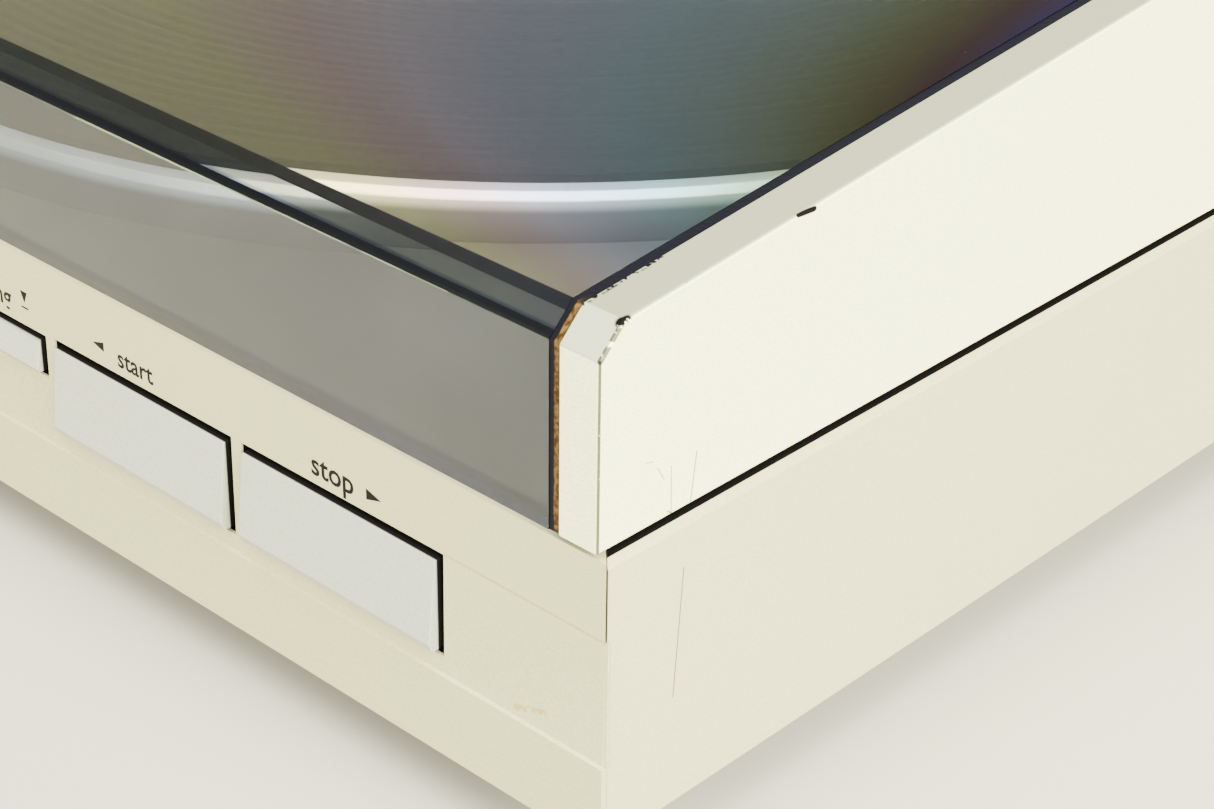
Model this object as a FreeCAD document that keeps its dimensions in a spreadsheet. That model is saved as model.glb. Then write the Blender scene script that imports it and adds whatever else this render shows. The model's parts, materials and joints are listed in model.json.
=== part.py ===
import FreeCAD, Part
import os
import re
import Sketcher

# A compact record player with a linear-tracking arm.
#
# Every sub-part is drawn with x = 0 at the middle of the case, y measured back from the
# face of the front panel, and z up from the surface that the player stands on.  node()
# then moves it in y, so that the whole player is centred on the origin.

SIZES = {
    # case
    "case_wide": 350, "case_deep": 365, "shell_tall": 45.5, "foot_tall": 10, "wall": 3,
    "top_bevel": 1, "seam_gap": 0.2, "ledge_reach": 6, "ledge_thick": 3,
    "rest_ledge_y": 356, "fit_gap": 0.3,
    # how far a cut runs on past the part that it goes through
    "past": 1,
    # front panel
    "crease_drop": 12.1, "ridge_drop": 32, "ridge_rise": 0.35, "panel_rake": 0.25,
    "skirt_proud": 0.7, "lip_deep": 0.4, "lip_wide": 0.5, "skirt_lip": 0.3,
    # key slots, measured down from the top of the case
    "slot_edge": 144.8, "slot_wide": 42.5, "slot_top": 12.2, "slot_foot": 29, "fence": 2.2,
    "small_wide": 28, "small_top": 12.6, "small_foot": 20, "key_gap": 0.9,
    # wedge-shaped keys
    "key_reach": 2.25, "key_brow": 0.76, "key_brow_drop": 13.3, "key_chin_drop": 26.6,
    "key_foot_drop": 28, "key_foot_reach": 1.6, "key_back": 2.6, "key_waist_drop": 18,
    "key_hub_top": 13, "small_brow": 0.5, "small_brow_drop": 13.4, "small_chin": 1.6,
    "small_chin_drop": 18.4, "small_foot_reach": 1.1, "small_key_foot": 19,
    "key_shaft_y": 5, "key_shaft_drop": 15.5, "key_shaft_r": 1.5, "key_hub_r": 2.5,
    "run_gap": 0.05, "key_shaft_half": 149, "tail_front": 3.4, "tail_back": 4.6,
    "tail_foot": 26, "tail_half": 3, "lug_back": 8.2, "lug_top": 12.5, "lug_foot": 18.5,
    "lug_half": 0.8, "boss_r": 3, "boss_drop": 24,
    # key board and its push switches
    "switch_tip": 5.9, "switch_front": 6.6, "board_front": 10, "board_thick": 1.6,
    "key_board_half": 148, "key_board_top": 17, "key_board_foot": 30, "switch_half": 3,
    "switch_drop": 24.5, "switch_pin_r": 1.6,
    # deck, platter and bearing
    "deck_drop": 0.5, "deck_thick": 2.5, "platter_y": 165, "platter_r": 150,
    "well_r": 152.5, "well_deep": 6, "well_hole_r": 112, "platter_rise": 6.6,
    "platter_skin": 3, "platter_skirt": 10, "skirt_thick": 5, "rim_bevel": 1.2,
    "drive_ring_r": 80, "drive_ring_thick": 3, "drive_ring_foot": 13, "hub_r": 12,
    "hub_foot": 2, "mat_r": 146, "mat_thick": 1.5, "mat_bore_r": 4.7, "label_r": 50,
    "label_sink": 0.4, "spindle_r": 3.6, "spindle_root_r": 4.5, "spindle_tip": 18.6,
    "spindle_tip_r": 2,
    "spindle_cone": 1.4, "journal_r": 3, "journal_foot": 30.7,
    "bearing_foot": 33, "bearing_cup": 31, "bearing_r": 8, "flange_r": 14,
    "bridge_half": 140, "bridge_step": 112, "bridge_thick": 2, "bridge_drop": 16,
    "bridge_half_deep": 22, "bridge_screw": 128, "bridge_screw_y": 14,
    # platter motor and belt
    "motor_x": -69.3, "motor_y": 234.3, "motor_r": 17.5, "motor_foot": 41,
    "motor_shaft_r": 1, "bracket_drop": 15, "bracket_thick": 2, "bracket_hole_r": 8,
    "bracket_left": -118, "bracket_right": -37, "bracket_front": 202, "bracket_rear": 283,
    "spacer_r": 4, "pulley_r": 7, "pulley_top": 2, "pulley_foot": 13, "pulley_lip": 0.6,
    "belt_gap": 0.3, "belt_thick": 0.7, "belt_top": 5, "belt_foot": 11,
    # mains transformer
    "core_left": 97, "core_right": 147, "core_front": 296, "core_rear": 320,
    "core_top": 45, "leg": 8, "yoke": 8, "coil_over": 6,
    # main board
    "board_left": -150, "board_right": -20, "board_near": 268, "board_far": 345,
    "board_lift": 5.5, "pillar_r": 4, "pillar_inset": 6,
    # bottom cover, feet and screws
    "cover_thick": 2.5, "foot_x": 135, "foot_near": 50, "foot_far": 320, "foot_r": 16,
    "foot_taper": 2, "foot_clear": 1.5, "pad_r": 13, "pad_tall": 2.5, "screw_r": 1.5,
    "head_r": 3.2, "head_tall": 1.5, "screw_long": 9, "short_screw": 4.2, "cover_boss_x": 168.5,
    "cover_boss_r": 4, "cover_boss_tall": 12,
    # lid
    "lid_inset": 1.2, "lid_over": 0.4, "lid_rear_gap": 0.4, "lid_gap": 0.9,
    "window_gap": 1.1, "lid_nose": 28.85, "lid_chamfer": 4.2, "lid_slope": 0.09506,
    "cheek_thick": 6.9, "bond_thick": 1.8, "bond_sink": 0.15, "window_thick": 4,
    "edge_bevel": 0.35, "rail_front": 340, "rail_wall": 3, "bumper_r": 2.5,
    "bumper_tall": 0.8, "bumper_near": 20, "bumper_far": 340,
    # hinges
    "hinge_reach": 11, "hinge_x": 125, "hinge_half": 17, "knuckle_r": 5,
    "knuckle_half": 6.5, "knuckle_gap": 0.4, "hinge_rise": 3, "pin_r": 2,
    "leaf_thick": 3, "base_top_drop": 3, "base_foot_drop": 26, "leaf_low": 10,
    "leaf_high": 30, "hinge_screw_x": 12, "hinge_screw_drop": 18, "leaf_screw_rise": 22,
    # tonearm and its carriage
    "arm_x": 154, "arm_rise": 28, "guide_y": 338, "guide_r": 3, "guide_left": 8,
    "guide_right": 161.2, "bracket_wide": 4, "end_wide": 2.5, "guide_block_near": 330,
    "guide_block_far": 350, "guide_block_rise": 34, "carriage_left": 20,
    "carriage_right": 6, "carriage_near": 328, "carriage_far": 348, "carriage_half": 8,
    "pivot_y": 324, "pivot_r": 1.5, "ear_near": 321, "ear_thick": 1.6, "ear_in": 4.4,
    "ear_half": 4, "clamp_foot": 11.3, "clamp_half": 2.2, "clamp_left": 18, "clamp_right": 10,
    "tube_r": 4, "tube_wall": 1, "tube_front": 184, "block_half": 4, "block_near": 320,
    "block_far": 327, "shell_front": 152, "shell_rear": 186, "shell_half": 6,
    "shell_nose": 4.5, "shell_low": 25, "shell_high": 31, "cart_front": 158,
    "cart_rear": 180, "cart_half": 5, "cart_low": 18.8, "stylus_y": 165,
    "stylus_tip": 17.6, "stylus_r": 0.5, "rest_y": 250, "rest_r": 4, "rest_rise": 19.5,
    "rest_cup": 1.5,
    # drive of the carriage
    "cord_rise": 9, "cord_r": 0.5, "cord_gap": 0.3, "wheel_r": 7, "wheel_groove": 1,
    "wheel_half": 1.8, "wheel_y": 340, "driver_x": 20, "idler_x": 150,
    "wheel_shaft_r": 1.5, "post_r": 4, "post_rise": 6.8, "idler_shaft_rise": 0.5,
    "driver_shaft_drop": 12, "arm_motor_r": 12, "arm_motor_foot": 25,
    # cover over the carriage
    "hood_half": 165.5, "hood_near": 318, "hood_far": 357, "hood_rise": 44,
    "hood_wall": 1.5, "hood_slot_left": 42, "hood_slot_low": 19, "hood_slot_high": 37,
    # sockets in the rear wall
    "jack_panel_left": -95, "jack_panel_right": -40, "jack_low": 22, "jack_high": 44,
    "jack_a": -82, "jack_b": -66, "ground_x": -50, "jack_z": 33, "jack_r": 4.15,
    "jack_bore_r": 1.6, "jack_long": 8, "jack_base_r": 5.5, "jack_base": 1.5,
    "post_screw_r": 2, "post_long": 10, "post_tip": 1, "post_knob_r": 4.5, "post_knob_at": 4,
    "inlet_x": 65, "inlet_z": 31, "inlet_half": 13, "inlet_half_tall": 9,
    "inlet_deep": 14, "inlet_flange": 1.5, "inlet_lip": 2, "inlet_round": 4.1,
    "inlet_pitch": 4.3, "inlet_hollow": 11, "inlet_pin_r": 1.2,
}

TOP = "(foot_tall + shell_tall)"
HALF = "(case_wide / 2)"
FRONT = "(-(case_deep + hinge_reach - key_reach) / 2)"

doc = FreeCAD.newDocument("record_player")
sheet = doc.addObject("Spreadsheet::Sheet", "dims")
for row, (alias, value) in enumerate(SIZES.items(), 1):
    sheet.set(f"A{row}", alias)
    sheet.set(f"B{row}", str(value))
    sheet.setAlias(f"B{row}", alias)
doc.recompute()

nodes = []


# ---- helpers -------------------------------------------------------------------------

def bound(text):
    """Point each size named in an expression at its cell of the sheet."""
    return re.sub(r"\b[a-z]\w*\b", lambda m: "dims." + m[0] if m[0] in SIZES else m[0], str(text))


def bind(obj, prop, text):
    obj.setExpression(prop, bound(text))


def amount(text):
    """The number that an expression comes to."""
    return float(sheet.evalExpression(bound(text)))


def below(drop):
    """A height given as a drop below the top of the case."""
    return f"{TOP} - ({drop})"


def above(rise):
    """A height given as a rise above the top of the case."""
    return f"{TOP} + ({rise})"


def about(middle, half):
    """Two planes, the same distance each side of a middle one."""
    return (f"({middle}) - ({half})", f"({middle}) + ({half})")


def place(obj, x, y, z):
    for axis, text in zip("xyz", (x, y, z)):
        bind(obj, f"Placement.Base.{axis}", text)
    return obj


def block(x, y, z):
    """A box between two planes on each axis."""
    box = doc.addObject("Part::Box", "block")
    for side, (low, high) in zip(("Length", "Width", "Height"), (x, y, z)):
        bind(box, side, f"({high}) - ({low})")
    return place(box, x[0], y[0], z[0])


TURNS = {
    "x": FreeCAD.Rotation(FreeCAD.Vector(0, 1, 0), 90),
    "y": FreeCAD.Rotation(FreeCAD.Vector(1, 0, 0), -90),
    "z": FreeCAD.Rotation(),
}


def rod(along, radius, x, y, z):
    """A cylinder along one axis: that axis gives (low, high), the others its centre."""
    ends = {"x": x, "y": y, "z": z}
    low, high = ends[along]
    ends[along] = low
    cylinder = doc.addObject("Part::Cylinder", "rod")
    bind(cylinder, "Radius", radius)
    bind(cylinder, "Height", f"({high}) - ({low})")
    cylinder.Placement = FreeCAD.Placement(FreeCAD.Vector(), TURNS[along])
    return place(cylinder, ends["x"], ends["y"], ends["z"])


def joined(*parts):
    fuse = doc.addObject("Part::MultiFuse", "joined")
    fuse.Shapes = list(parts)
    return fuse


def cut(base, *tools):
    result = doc.addObject("Part::Cut", "cut")
    result.Base = base
    result.Tool = tools[0] if len(tools) == 1 else joined(*tools)
    return result


def shared(first, second):
    result = doc.addObject("Part::MultiCommon", "shared")
    result.Shapes = [first, second]
    return result


def group(*parts):
    """Separate solids kept together in one sub-part."""
    result = doc.addObject("Part::Compound", "group")
    result.Links = list(parts)
    return result


def outline(body, plane, points):
    """A closed sketch of straight lines through points given as expressions."""
    sketch = body.newObject("Sketcher::SketchObject", "outline")
    support = [item for item in body.Origin.OriginFeatures if item.Role == plane + "_Plane"]
    sketch.AttachmentSupport = (support[0], [""])
    sketch.MapMode = "FlatFace"
    spots = [FreeCAD.Vector(amount(a), amount(b), 0) for a, b in points]
    count = len(spots)
    sketch.addGeometry([Part.LineSegment(spots[i], spots[(i + 1) % count]) for i in range(count)])
    for i in range(count):
        sketch.addConstraint(Sketcher.Constraint("Coincident", i, 2, (i + 1) % count, 1))
    for i, (point, spot) in enumerate(zip(points, spots)):
        for kind, text, value in zip(("DistanceX", "DistanceY"), point, spot):
            index = sketch.addConstraint(Sketcher.Constraint(kind, -1, 1, i, 1, value))
            sketch.setExpression(f"Constraints[{index}]", bound(text))
    return sketch


def prism(plane, points, low, high):
    """An outline on one plane, padded square to it from low to high."""
    body = doc.addObject("PartDesign::Body", "prism")
    sketch = outline(body, plane, points)
    pad = body.newObject("PartDesign::Pad", "pad")
    pad.Profile = sketch
    pad.Reversed = plane == "XZ"
    bind(pad, "Length", f"({high}) - ({low})")
    axis = {"YZ": "x", "XZ": "y", "XY": "z"}[plane]
    bind(body, f"Placement.Base.{axis}", low)
    return body


def turned(points, x, y):
    """An outline of radius and height, turned about an upright axis."""
    body = doc.addObject("PartDesign::Body", "turned")
    sketch = outline(body, "XZ", points)
    turn = body.newObject("PartDesign::Revolution", "turn")
    turn.Profile = sketch
    turn.ReferenceAxis = (sketch, ["V_Axis"])
    turn.Angle = 360
    return place(body, x, y, "0")


def bevelled(body, outward):
    """Bevel every edge of the flat face that looks furthest along a direction."""
    doc.recompute()
    square = body.Tip
    faces = square.Shape.Faces
    best = max(range(len(faces)), key=lambda i: faces[i].CenterOfMass.dot(outward))
    bevel = body.newObject("PartDesign::Chamfer", "bevel")
    bevel.Base = (square, [f"Face{best + 1}"])
    bind(bevel, "Size", "edge_bevel")
    return body


def node(name, obj):
    """Name a finished sub-part and centre it in y with the rest of the player."""
    obj.Label = name
    drawn = [text for path, text in obj.ExpressionEngine if path.endswith("Placement.Base.y")]
    start = drawn[0] if drawn else "0"
    obj.setExpression("Placement.Base.y", f"({start}) + {bound(FRONT)}")
    nodes.append(obj)
    return obj


def screw(along, x, y, z, inward, long="screw_long"):
    """A screw with its head's seat at a point; the shank goes inward from there."""
    spot = {"x": x, "y": y, "z": z}
    seat = spot[along]
    sign = "-" if inward > 0 else "+"
    back = "+" if inward > 0 else "-"
    head_end = f"({seat}) {sign} head_tall"
    shank_end = f"({seat}) {back} {long}"
    head = (head_end, seat) if inward > 0 else (seat, head_end)
    shank = (seat, shank_end) if inward > 0 else (shank_end, seat)
    return joined(rod(along, "head_r", **dict(spot, **{along: head})),
                  rod(along, "screw_r", **dict(spot, **{along: shank})))


# ---- case ----------------------------------------------------------------------------

SIDES = (("left", -1), ("right", 1))
COVER_SCREW_Y = (25, 130, 235, 345)


def side_wall(sign):
    """A side wall with a bevel along its top outer edge and a mitred front end."""
    inner, outer = f"{sign} * ({HALF} - wall)", f"{sign} * {HALF}"
    bevel = f"{sign} * ({HALF} - top_bevel)"
    wall = prism("XZ", [(inner, "foot_tall"), (outer, "foot_tall"), (outer, below("top_bevel")),
                        (bevel, TOP), (inner, TOP)], "0", "case_deep")
    edge = f"({HALF} + seam_gap)"
    mitre = prism("XY", [(f"{sign} * ({edge} + wall)", "-wall"), (f"{sign} * ({edge} - 2 * wall)", "-wall"),
                         (f"{sign} * ({edge} - 2 * wall)", "2 * wall")], "0", f"{TOP} + wall")
    corner = sorted((f"{sign} * ({HALF} - wall)", f"{sign} * ({HALF} + wall)"), key=amount)
    lip_room = block(corner, ("-wall", "lip_deep + seam_gap"), ("0", below("crease_drop")))
    return cut(wall, mitre, lip_room)


def case_shell():
    """Side walls and rear wall, with ledges for the deck and bosses for the cover."""
    inner = f"({HALF} - wall)"
    ledge_z = (below("deck_drop + deck_thick + ledge_thick"), below("deck_drop + deck_thick"))
    parts = [side_wall(sign) for _, sign in SIDES]
    parts.append(block((f"-{inner}", inner), ("case_deep - wall", "case_deep"), ("foot_tall", TOP)))
    parts.append(block((f"-{inner}", inner), ("rest_ledge_y", "case_deep - wall"), ledge_z))
    for _, sign in SIDES:
        reach = sorted((f"{sign} * {inner}", f"{sign} * ({inner} - ledge_reach)"), key=amount)
        parts.append(block(reach, ("wall", "case_deep - wall"), ledge_z))
        post = ("foot_tall + cover_thick", "foot_tall + cover_thick + cover_boss_tall")
        for y in COVER_SCREW_Y:
            parts.append(rod("z", "cover_boss_r", f"{sign} * cover_boss_x", y, post))
    through = ("case_deep - wall - past", "case_deep + past")
    jack_hole = block(("jack_panel_left", "jack_panel_right"), through, ("jack_low", "jack_high"))
    inlet_hole = block(about("inlet_x", "inlet_half"), through, about("inlet_z", "inlet_half_tall"))
    node("case_shell", cut(joined(*parts), jack_hole, inlet_hole))


KEYS = {
    "stop": ("slot_edge - slot_wide", "slot_edge", True),
    "start": ("slot_edge - 2 * slot_wide - fence", "slot_edge - slot_wide - fence", True),
    "cueing": ("slot_edge - 2 * (slot_wide + fence) - small_wide",
               "slot_edge - 2 * (slot_wide + fence)", False),
    "speed": ("slot_edge - 2 * (slot_wide + small_wide) - 3 * fence",
              "slot_edge - 2 * slot_wide - small_wide - 3 * fence", False),
    "power": ("-slot_edge", "-(slot_edge - slot_wide)", True),
}


def key_middle(name):
    left, right, _ = KEYS[name]
    return f"(({left} + {right}) / 2)"


def front_panel():
    """The front panel, mitred to the side walls, with slots for the keys."""
    reach = f"({HALF} + lip_wide)"
    face = prism("YZ", [("0", TOP), ("0", below("crease_drop")),
                        ("-panel_rake", below("ridge_drop - ridge_rise")),
                        ("-skirt_proud", below("ridge_drop")), ("-skirt_proud", "foot_tall"),
                        ("wall", "foot_tall"), ("wall", TOP)], f"-{reach}", reach)
    plan = prism("XY", [(f"-{HALF}", "-2 * skirt_proud"), (HALF, "-2 * skirt_proud"), (HALF, "0"),
                        (f"{HALF} - wall", "wall"), (f"-({HALF} - wall)", "wall"),
                        (f"-{HALF}", "0")], "0", f"{TOP} + past")
    parts = [shared(face, plan)]
    for _, sign in SIDES:
        for lip, front, low, high in (("lip_wide", "0", below("ridge_drop"), below("crease_drop")),
                                      ("skirt_lip", "-skirt_proud", "foot_tall", below("ridge_drop"))):
            span = sorted((f"{sign} * ({HALF} - lip_deep)", f"{sign} * ({HALF} + {lip})"), key=amount)
            parts.append(block(span, (front, "lip_deep"), (low, high)))
    slots = [block((left, right), ("-key_reach", "wall + past"),
                   (below("slot_foot"), below("slot_top")) if large
                   else (below("small_foot"), below("small_top")))
             for left, right, large in KEYS.values()]
    lugs = ["slot_edge + fence", "slot_edge - slot_wide - fence / 2",
            "slot_edge - 2 * (slot_wide + small_wide) - 4 * fence",
            "-(slot_edge - slot_wide - fence)", "-(slot_edge + fence)"]
    for middle in lugs:
        parts.append(block(about(middle, "lug_half"), ("wall", "lug_back"),
                           (below("lug_foot"), below("lug_top"))))
    for middle in (lugs[0], f"({lugs[2]} + {lugs[3]}) / 2", lugs[4]):
        parts.append(rod("y", "boss_r", middle, ("wall", "board_front"), below("boss_drop")))
    shaft = rod("x", "key_shaft_r", ("-key_shaft_half", "key_shaft_half"), "key_shaft_y",
                below("key_shaft_drop"))
    node("front_panel", cut(joined(*parts), shaft, *slots))


def key_shaft():
    """The rod that all the keys swing on."""
    node("key_shaft", rod("x", "key_shaft_r", ("-key_shaft_half", "key_shaft_half"), "key_shaft_y",
                          below("key_shaft_drop")))


def key(name):
    """A wedge that stands further out at its foot, with a hub and a tail behind."""
    left, right, large = KEYS[name]
    span = (f"{left} + key_gap", f"{right} - key_gap")
    if large:
        face = [("-key_brow", below("key_brow_drop")), ("-key_reach", below("key_chin_drop")),
                ("-key_foot_reach", below("key_foot_drop")), ("key_back", below("key_foot_drop"))]
    else:
        face = [("-small_brow", below("small_brow_drop")), ("-small_chin", below("small_chin_drop")),
                ("-small_foot_reach", below("small_key_foot")), ("key_back", below("small_key_foot"))]
    face += [("key_back", below("key_waist_drop")), ("key_shaft_y", below("key_waist_drop")),
             ("key_shaft_y", below("key_hub_top"))]
    wedge = prism("YZ", face, *span)
    hub = rod("x", "key_hub_r", span, "key_shaft_y", below("key_shaft_drop"))
    tail = block(about(key_middle(name), "tail_half"), ("tail_front", "tail_back"),
                 (below("tail_foot"), below("key_shaft_drop")))
    bore = rod("x", "key_shaft_r + run_gap", span, "key_shaft_y", below("key_shaft_drop"))
    node("key_" + name, cut(joined(wedge, hub, tail), bore))


def key_board():
    """The circuit board behind the keys and a push switch for each key."""
    node("key_board", block(("-key_board_half", "key_board_half"),
                            ("board_front", "board_front + board_thick"),
                            (below("key_board_foot"), below("key_board_top"))))
    switches = []
    for name in KEYS:
        middle = key_middle(name)
        switches.append(joined(
            block(about(middle, "switch_half"), ("switch_front", "board_front"),
                  about(below("switch_drop"), "switch_half")),
            rod("y", "switch_pin_r", middle, ("switch_tip", "switch_front"), below("switch_drop"))))
    node("key_switches", group(*switches))


def deck_plate():
    """The top plate, with a round well for the platter and posts for the cord wheels."""
    edge = f"({HALF} - wall - fit_gap)"
    top, under = below("deck_drop"), below("deck_drop + deck_thick")
    plate = block((f"-{edge}", edge), ("wall + fit_gap", "case_deep - wall - fit_gap"), (under, top))
    floor = below("deck_drop + well_deep")
    well = turned([("well_hole_r", f"{floor} - deck_thick"),
                   ("well_r + deck_thick", f"{floor} - deck_thick"),
                   ("well_r + deck_thick", top), ("well_r", top), ("well_r", floor),
                   ("well_hole_r", floor)], "0", "platter_y")
    hole = rod("z", "well_r", "0", "platter_y", (f"{under} - past", f"{top} + past"))
    parts = [cut(plate, hole), well]
    bores = []
    for x in ("driver_x", "idler_x"):
        parts.append(rod("z", "post_r", x, "wheel_y", (under, above("post_rise"))))
        bores.append(rod("z", "wheel_shaft_r + run_gap", x, "wheel_y",
                         (f"{under} - past", above("post_rise + past"))))
    node("deck_plate", cut(joined(*parts), *bores))


def bottom_cover():
    """The cover under the case, with pillars that carry the main board."""
    edge = f"({HALF} - wall - fit_gap)"
    level = ("foot_tall", "foot_tall + cover_thick")
    parts = [block((f"-{edge}", edge), ("wall + fit_gap", "case_deep - wall - fit_gap"), level)]
    for x in ("board_left + pillar_inset", "board_right - pillar_inset"):
        for y in ("board_near + pillar_inset", "board_far - pillar_inset"):
            parts.append(rod("z", "pillar_r", x, y, (level[0], f"{level[1]} + board_lift")))
    holes = []
    for _, sign in SIDES:
        for y in COVER_SCREW_Y:
            spot = (f"{sign} * cover_boss_x", y)
            holes.append(rod("z", "head_r", *spot, ("foot_tall - past", "foot_tall + head_tall")))
            holes.append(rod("z", "screw_r", *spot, ("foot_tall", f"{level[1]} + past")))
    node("bottom_cover", cut(joined(*parts), *holes))
    node("bottom_screws", group(*[screw("z", f"{sign} * cover_boss_x", y, "foot_tall + head_tall", 1)
                                  for _, sign in SIDES for y in COVER_SCREW_Y]))


def feet():
    """Four tapered feet, each with a rubber pad let into its underside."""
    spots = [(f"{sign} * foot_x", y) for _, sign in SIDES for y in ("foot_near", "foot_far")]
    shells = [turned([("pad_r", "foot_clear"), ("foot_r - foot_taper", "foot_clear"),
                      ("foot_r", "foot_tall"), ("0", "foot_tall"), ("0", "pad_tall"),
                      ("pad_r", "pad_tall")], *spot) for spot in spots]
    node("feet", group(*shells))
    node("foot_pads", group(*[rod("z", "pad_r", *spot, ("0", "pad_tall")) for spot in spots]))


# ---- platter, bearing and platter drive ----------------------------------------------

def platter():
    """A cast platter with a deep rim and a ring underneath that the belt runs on."""
    top, skin = above("platter_rise"), above("platter_rise - platter_skin")
    foot = above("platter_rise - platter_skirt")
    rim = turned([("spindle_root_r", top), ("platter_r - rim_bevel", top),
                  ("platter_r", above("platter_rise - rim_bevel")), ("platter_r", foot),
                  ("platter_r - skirt_thick", foot), ("platter_r - skirt_thick", skin),
                  ("drive_ring_r", skin), ("drive_ring_r", below("drive_ring_foot")),
                  ("drive_ring_r - drive_ring_thick", below("drive_ring_foot")),
                  ("drive_ring_r - drive_ring_thick", skin), ("hub_r", skin),
                  ("hub_r", below("hub_foot")), ("spindle_root_r", below("hub_foot"))],
                 "0", "platter_y")
    node("platter", rim)
    mat_top = above("platter_rise + mat_thick")
    node("platter_mat", turned([("mat_bore_r", top), ("mat_r", top), ("mat_r", mat_top),
                                ("label_r", mat_top), ("label_r", f"{mat_top} - label_sink"),
                                ("mat_bore_r", f"{mat_top} - label_sink")], "0", "platter_y"))


def platter_spindle():
    """The spindle that the record drops over, with the bearing journal below it."""
    neck, root = above("spindle_tip - spindle_cone"), above("platter_rise + mat_thick - label_sink")
    node("platter_spindle", turned(
        [("0", below("journal_foot")), ("journal_r", below("journal_foot")),
         ("journal_r", below("hub_foot")), ("spindle_root_r", below("hub_foot")),
         ("spindle_root_r", root), ("spindle_r", root), ("spindle_r", neck),
         ("spindle_tip_r", above("spindle_tip")), ("0", above("spindle_tip"))], "0", "platter_y"))


def bearing():
    """A steel bridge across the well's opening, with the bearing bush in its middle."""
    high, low = below("deck_drop + well_deep + deck_thick"), below("bridge_drop")
    path = [("bridge_half", high), ("bridge_step", high), ("bridge_step", low)]
    under = [("bridge_step + bridge_thick", f"{low} - bridge_thick"),
             ("bridge_step + bridge_thick", f"{high} - bridge_thick"),
             ("bridge_half", f"{high} - bridge_thick")]
    right = path + [(f"-({x})", z) for x, z in reversed(path)]
    points = right + [(f"-({x})", z) for x, z in reversed(under)] + under
    strip = prism("XZ", points, "platter_y - bridge_half_deep", "platter_y + bridge_half_deep")
    seat = rod("z", "bearing_r", "0", "platter_y", (f"{low} - 2 * bridge_thick", f"{low} + past"))
    node("bearing_bridge", cut(strip, seat))
    node("bearing_housing", turned(
        [("0", below("bearing_foot")), ("bearing_r", below("bearing_foot")), ("bearing_r", low),
         ("flange_r", low), ("flange_r", f"{low} + bridge_thick"),
         ("journal_r + run_gap", f"{low} + bridge_thick"),
         ("journal_r + run_gap", below("bearing_cup")), ("0", below("bearing_cup"))],
        "0", "platter_y"))


SPACERS = ((-95, 260), (-110, 210), (-45, 275))


def motor_mount():
    """The platter motor on its bracket, hung on three spacers below the well."""
    ceiling = below("deck_drop + well_deep + deck_thick")
    top, under = below("bracket_drop"), below("bracket_drop + bracket_thick")
    plate = block(("bracket_left", "bracket_right"), ("bracket_front", "bracket_rear"), (under, top))
    hole = rod("z", "bracket_hole_r", "motor_x", "motor_y", (f"{under} - past", f"{top} + past"))
    spacers = [rod("z", "spacer_r", x, y, (top, ceiling)) for x, y in SPACERS]
    node("motor_bracket", joined(cut(plate, hole), *spacers))
    can = rod("z", "motor_r", "motor_x", "motor_y", (below("motor_foot"), under))
    nose = rod("z", "bracket_hole_r", "motor_x", "motor_y", (under, top))
    bore = rod("z", "motor_shaft_r + run_gap", "motor_x", "motor_y",
               (below("motor_foot - bracket_thick"), f"{top} + past"))
    node("drive_motor", cut(joined(can, nose), bore))
    screws = [screw("z", x, y, under, 1) for x, y in SPACERS]
    strip_under = f"{ceiling} - bridge_thick"
    for _, sign in SIDES:
        for _, side in SIDES:
            screws.append(screw("z", f"{sign} * bridge_screw", f"platter_y + {side} * bridge_screw_y",
                                strip_under, 1, "short_screw"))
    node("chassis_screws", group(*screws))


def motor_pulley():
    """The stepped pulley on the motor's shaft."""
    node("motor_pulley", turned(
        [("0", below("motor_foot - 2 * bracket_thick")),
         ("motor_shaft_r", below("motor_foot - 2 * bracket_thick")),
         ("motor_shaft_r", below("pulley_foot")), ("pulley_r + pulley_lip", below("pulley_foot")),
         ("pulley_r + pulley_lip", below("pulley_foot - pulley_lip")),
         ("pulley_r", below("pulley_foot - 2 * pulley_lip")),
         ("pulley_r", below("pulley_top + 2 * pulley_lip")),
         ("pulley_r + pulley_lip", below("pulley_top + pulley_lip")),
         ("pulley_r + pulley_lip", below("pulley_top")), ("0", below("pulley_top"))],
        "motor_x", "motor_y"))


def loop_face(first, r_first, second, r_second):
    """The flat region inside a belt's path round two wheels."""
    run = second - first
    lean = (r_first - r_second) / run.Length
    along = FreeCAD.Vector(run).normalize()
    across = FreeCAD.Vector(-along.y, along.x, 0)
    up = along * lean + across * (1 - lean * lean) ** 0.5
    down = along * lean - across * (1 - lean * lean) ** 0.5
    edges = [
        Part.Arc(first + up * r_first, first - along * r_first, first + down * r_first).toShape(),
        Part.LineSegment(first + down * r_first, second + down * r_second).toShape(),
        Part.Arc(second + down * r_second, second + along * r_second, second + up * r_second).toShape(),
        Part.LineSegment(second + up * r_second, first + up * r_first).toShape(),
    ]
    return Part.Face(Part.Wire(edges))


def drive_belt():
    """The flat belt round the platter's ring and the motor pulley."""
    ring = FreeCAD.Vector(0, amount("platter_y"), 0)
    motor = FreeCAD.Vector(amount("motor_x"), amount("motor_y"), 0)
    inner = [amount("drive_ring_r + belt_gap"), amount("pulley_r + belt_gap")]
    outer = [radius + amount("belt_thick") for radius in inner]
    tall = FreeCAD.Vector(0, 0, amount("belt_foot - belt_top"))
    solid = loop_face(ring, outer[0], motor, outer[1]).extrude(tall).cut(
        loop_face(ring, inner[0], motor, inner[1]).extrude(tall))
    belt = doc.addObject("Part::Feature", "drive_belt")
    belt.Shape = solid
    place(belt, "0", "0", below("belt_foot"))
    node("drive_belt", belt)


# ---- electrics -----------------------------------------------------------------------

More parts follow.
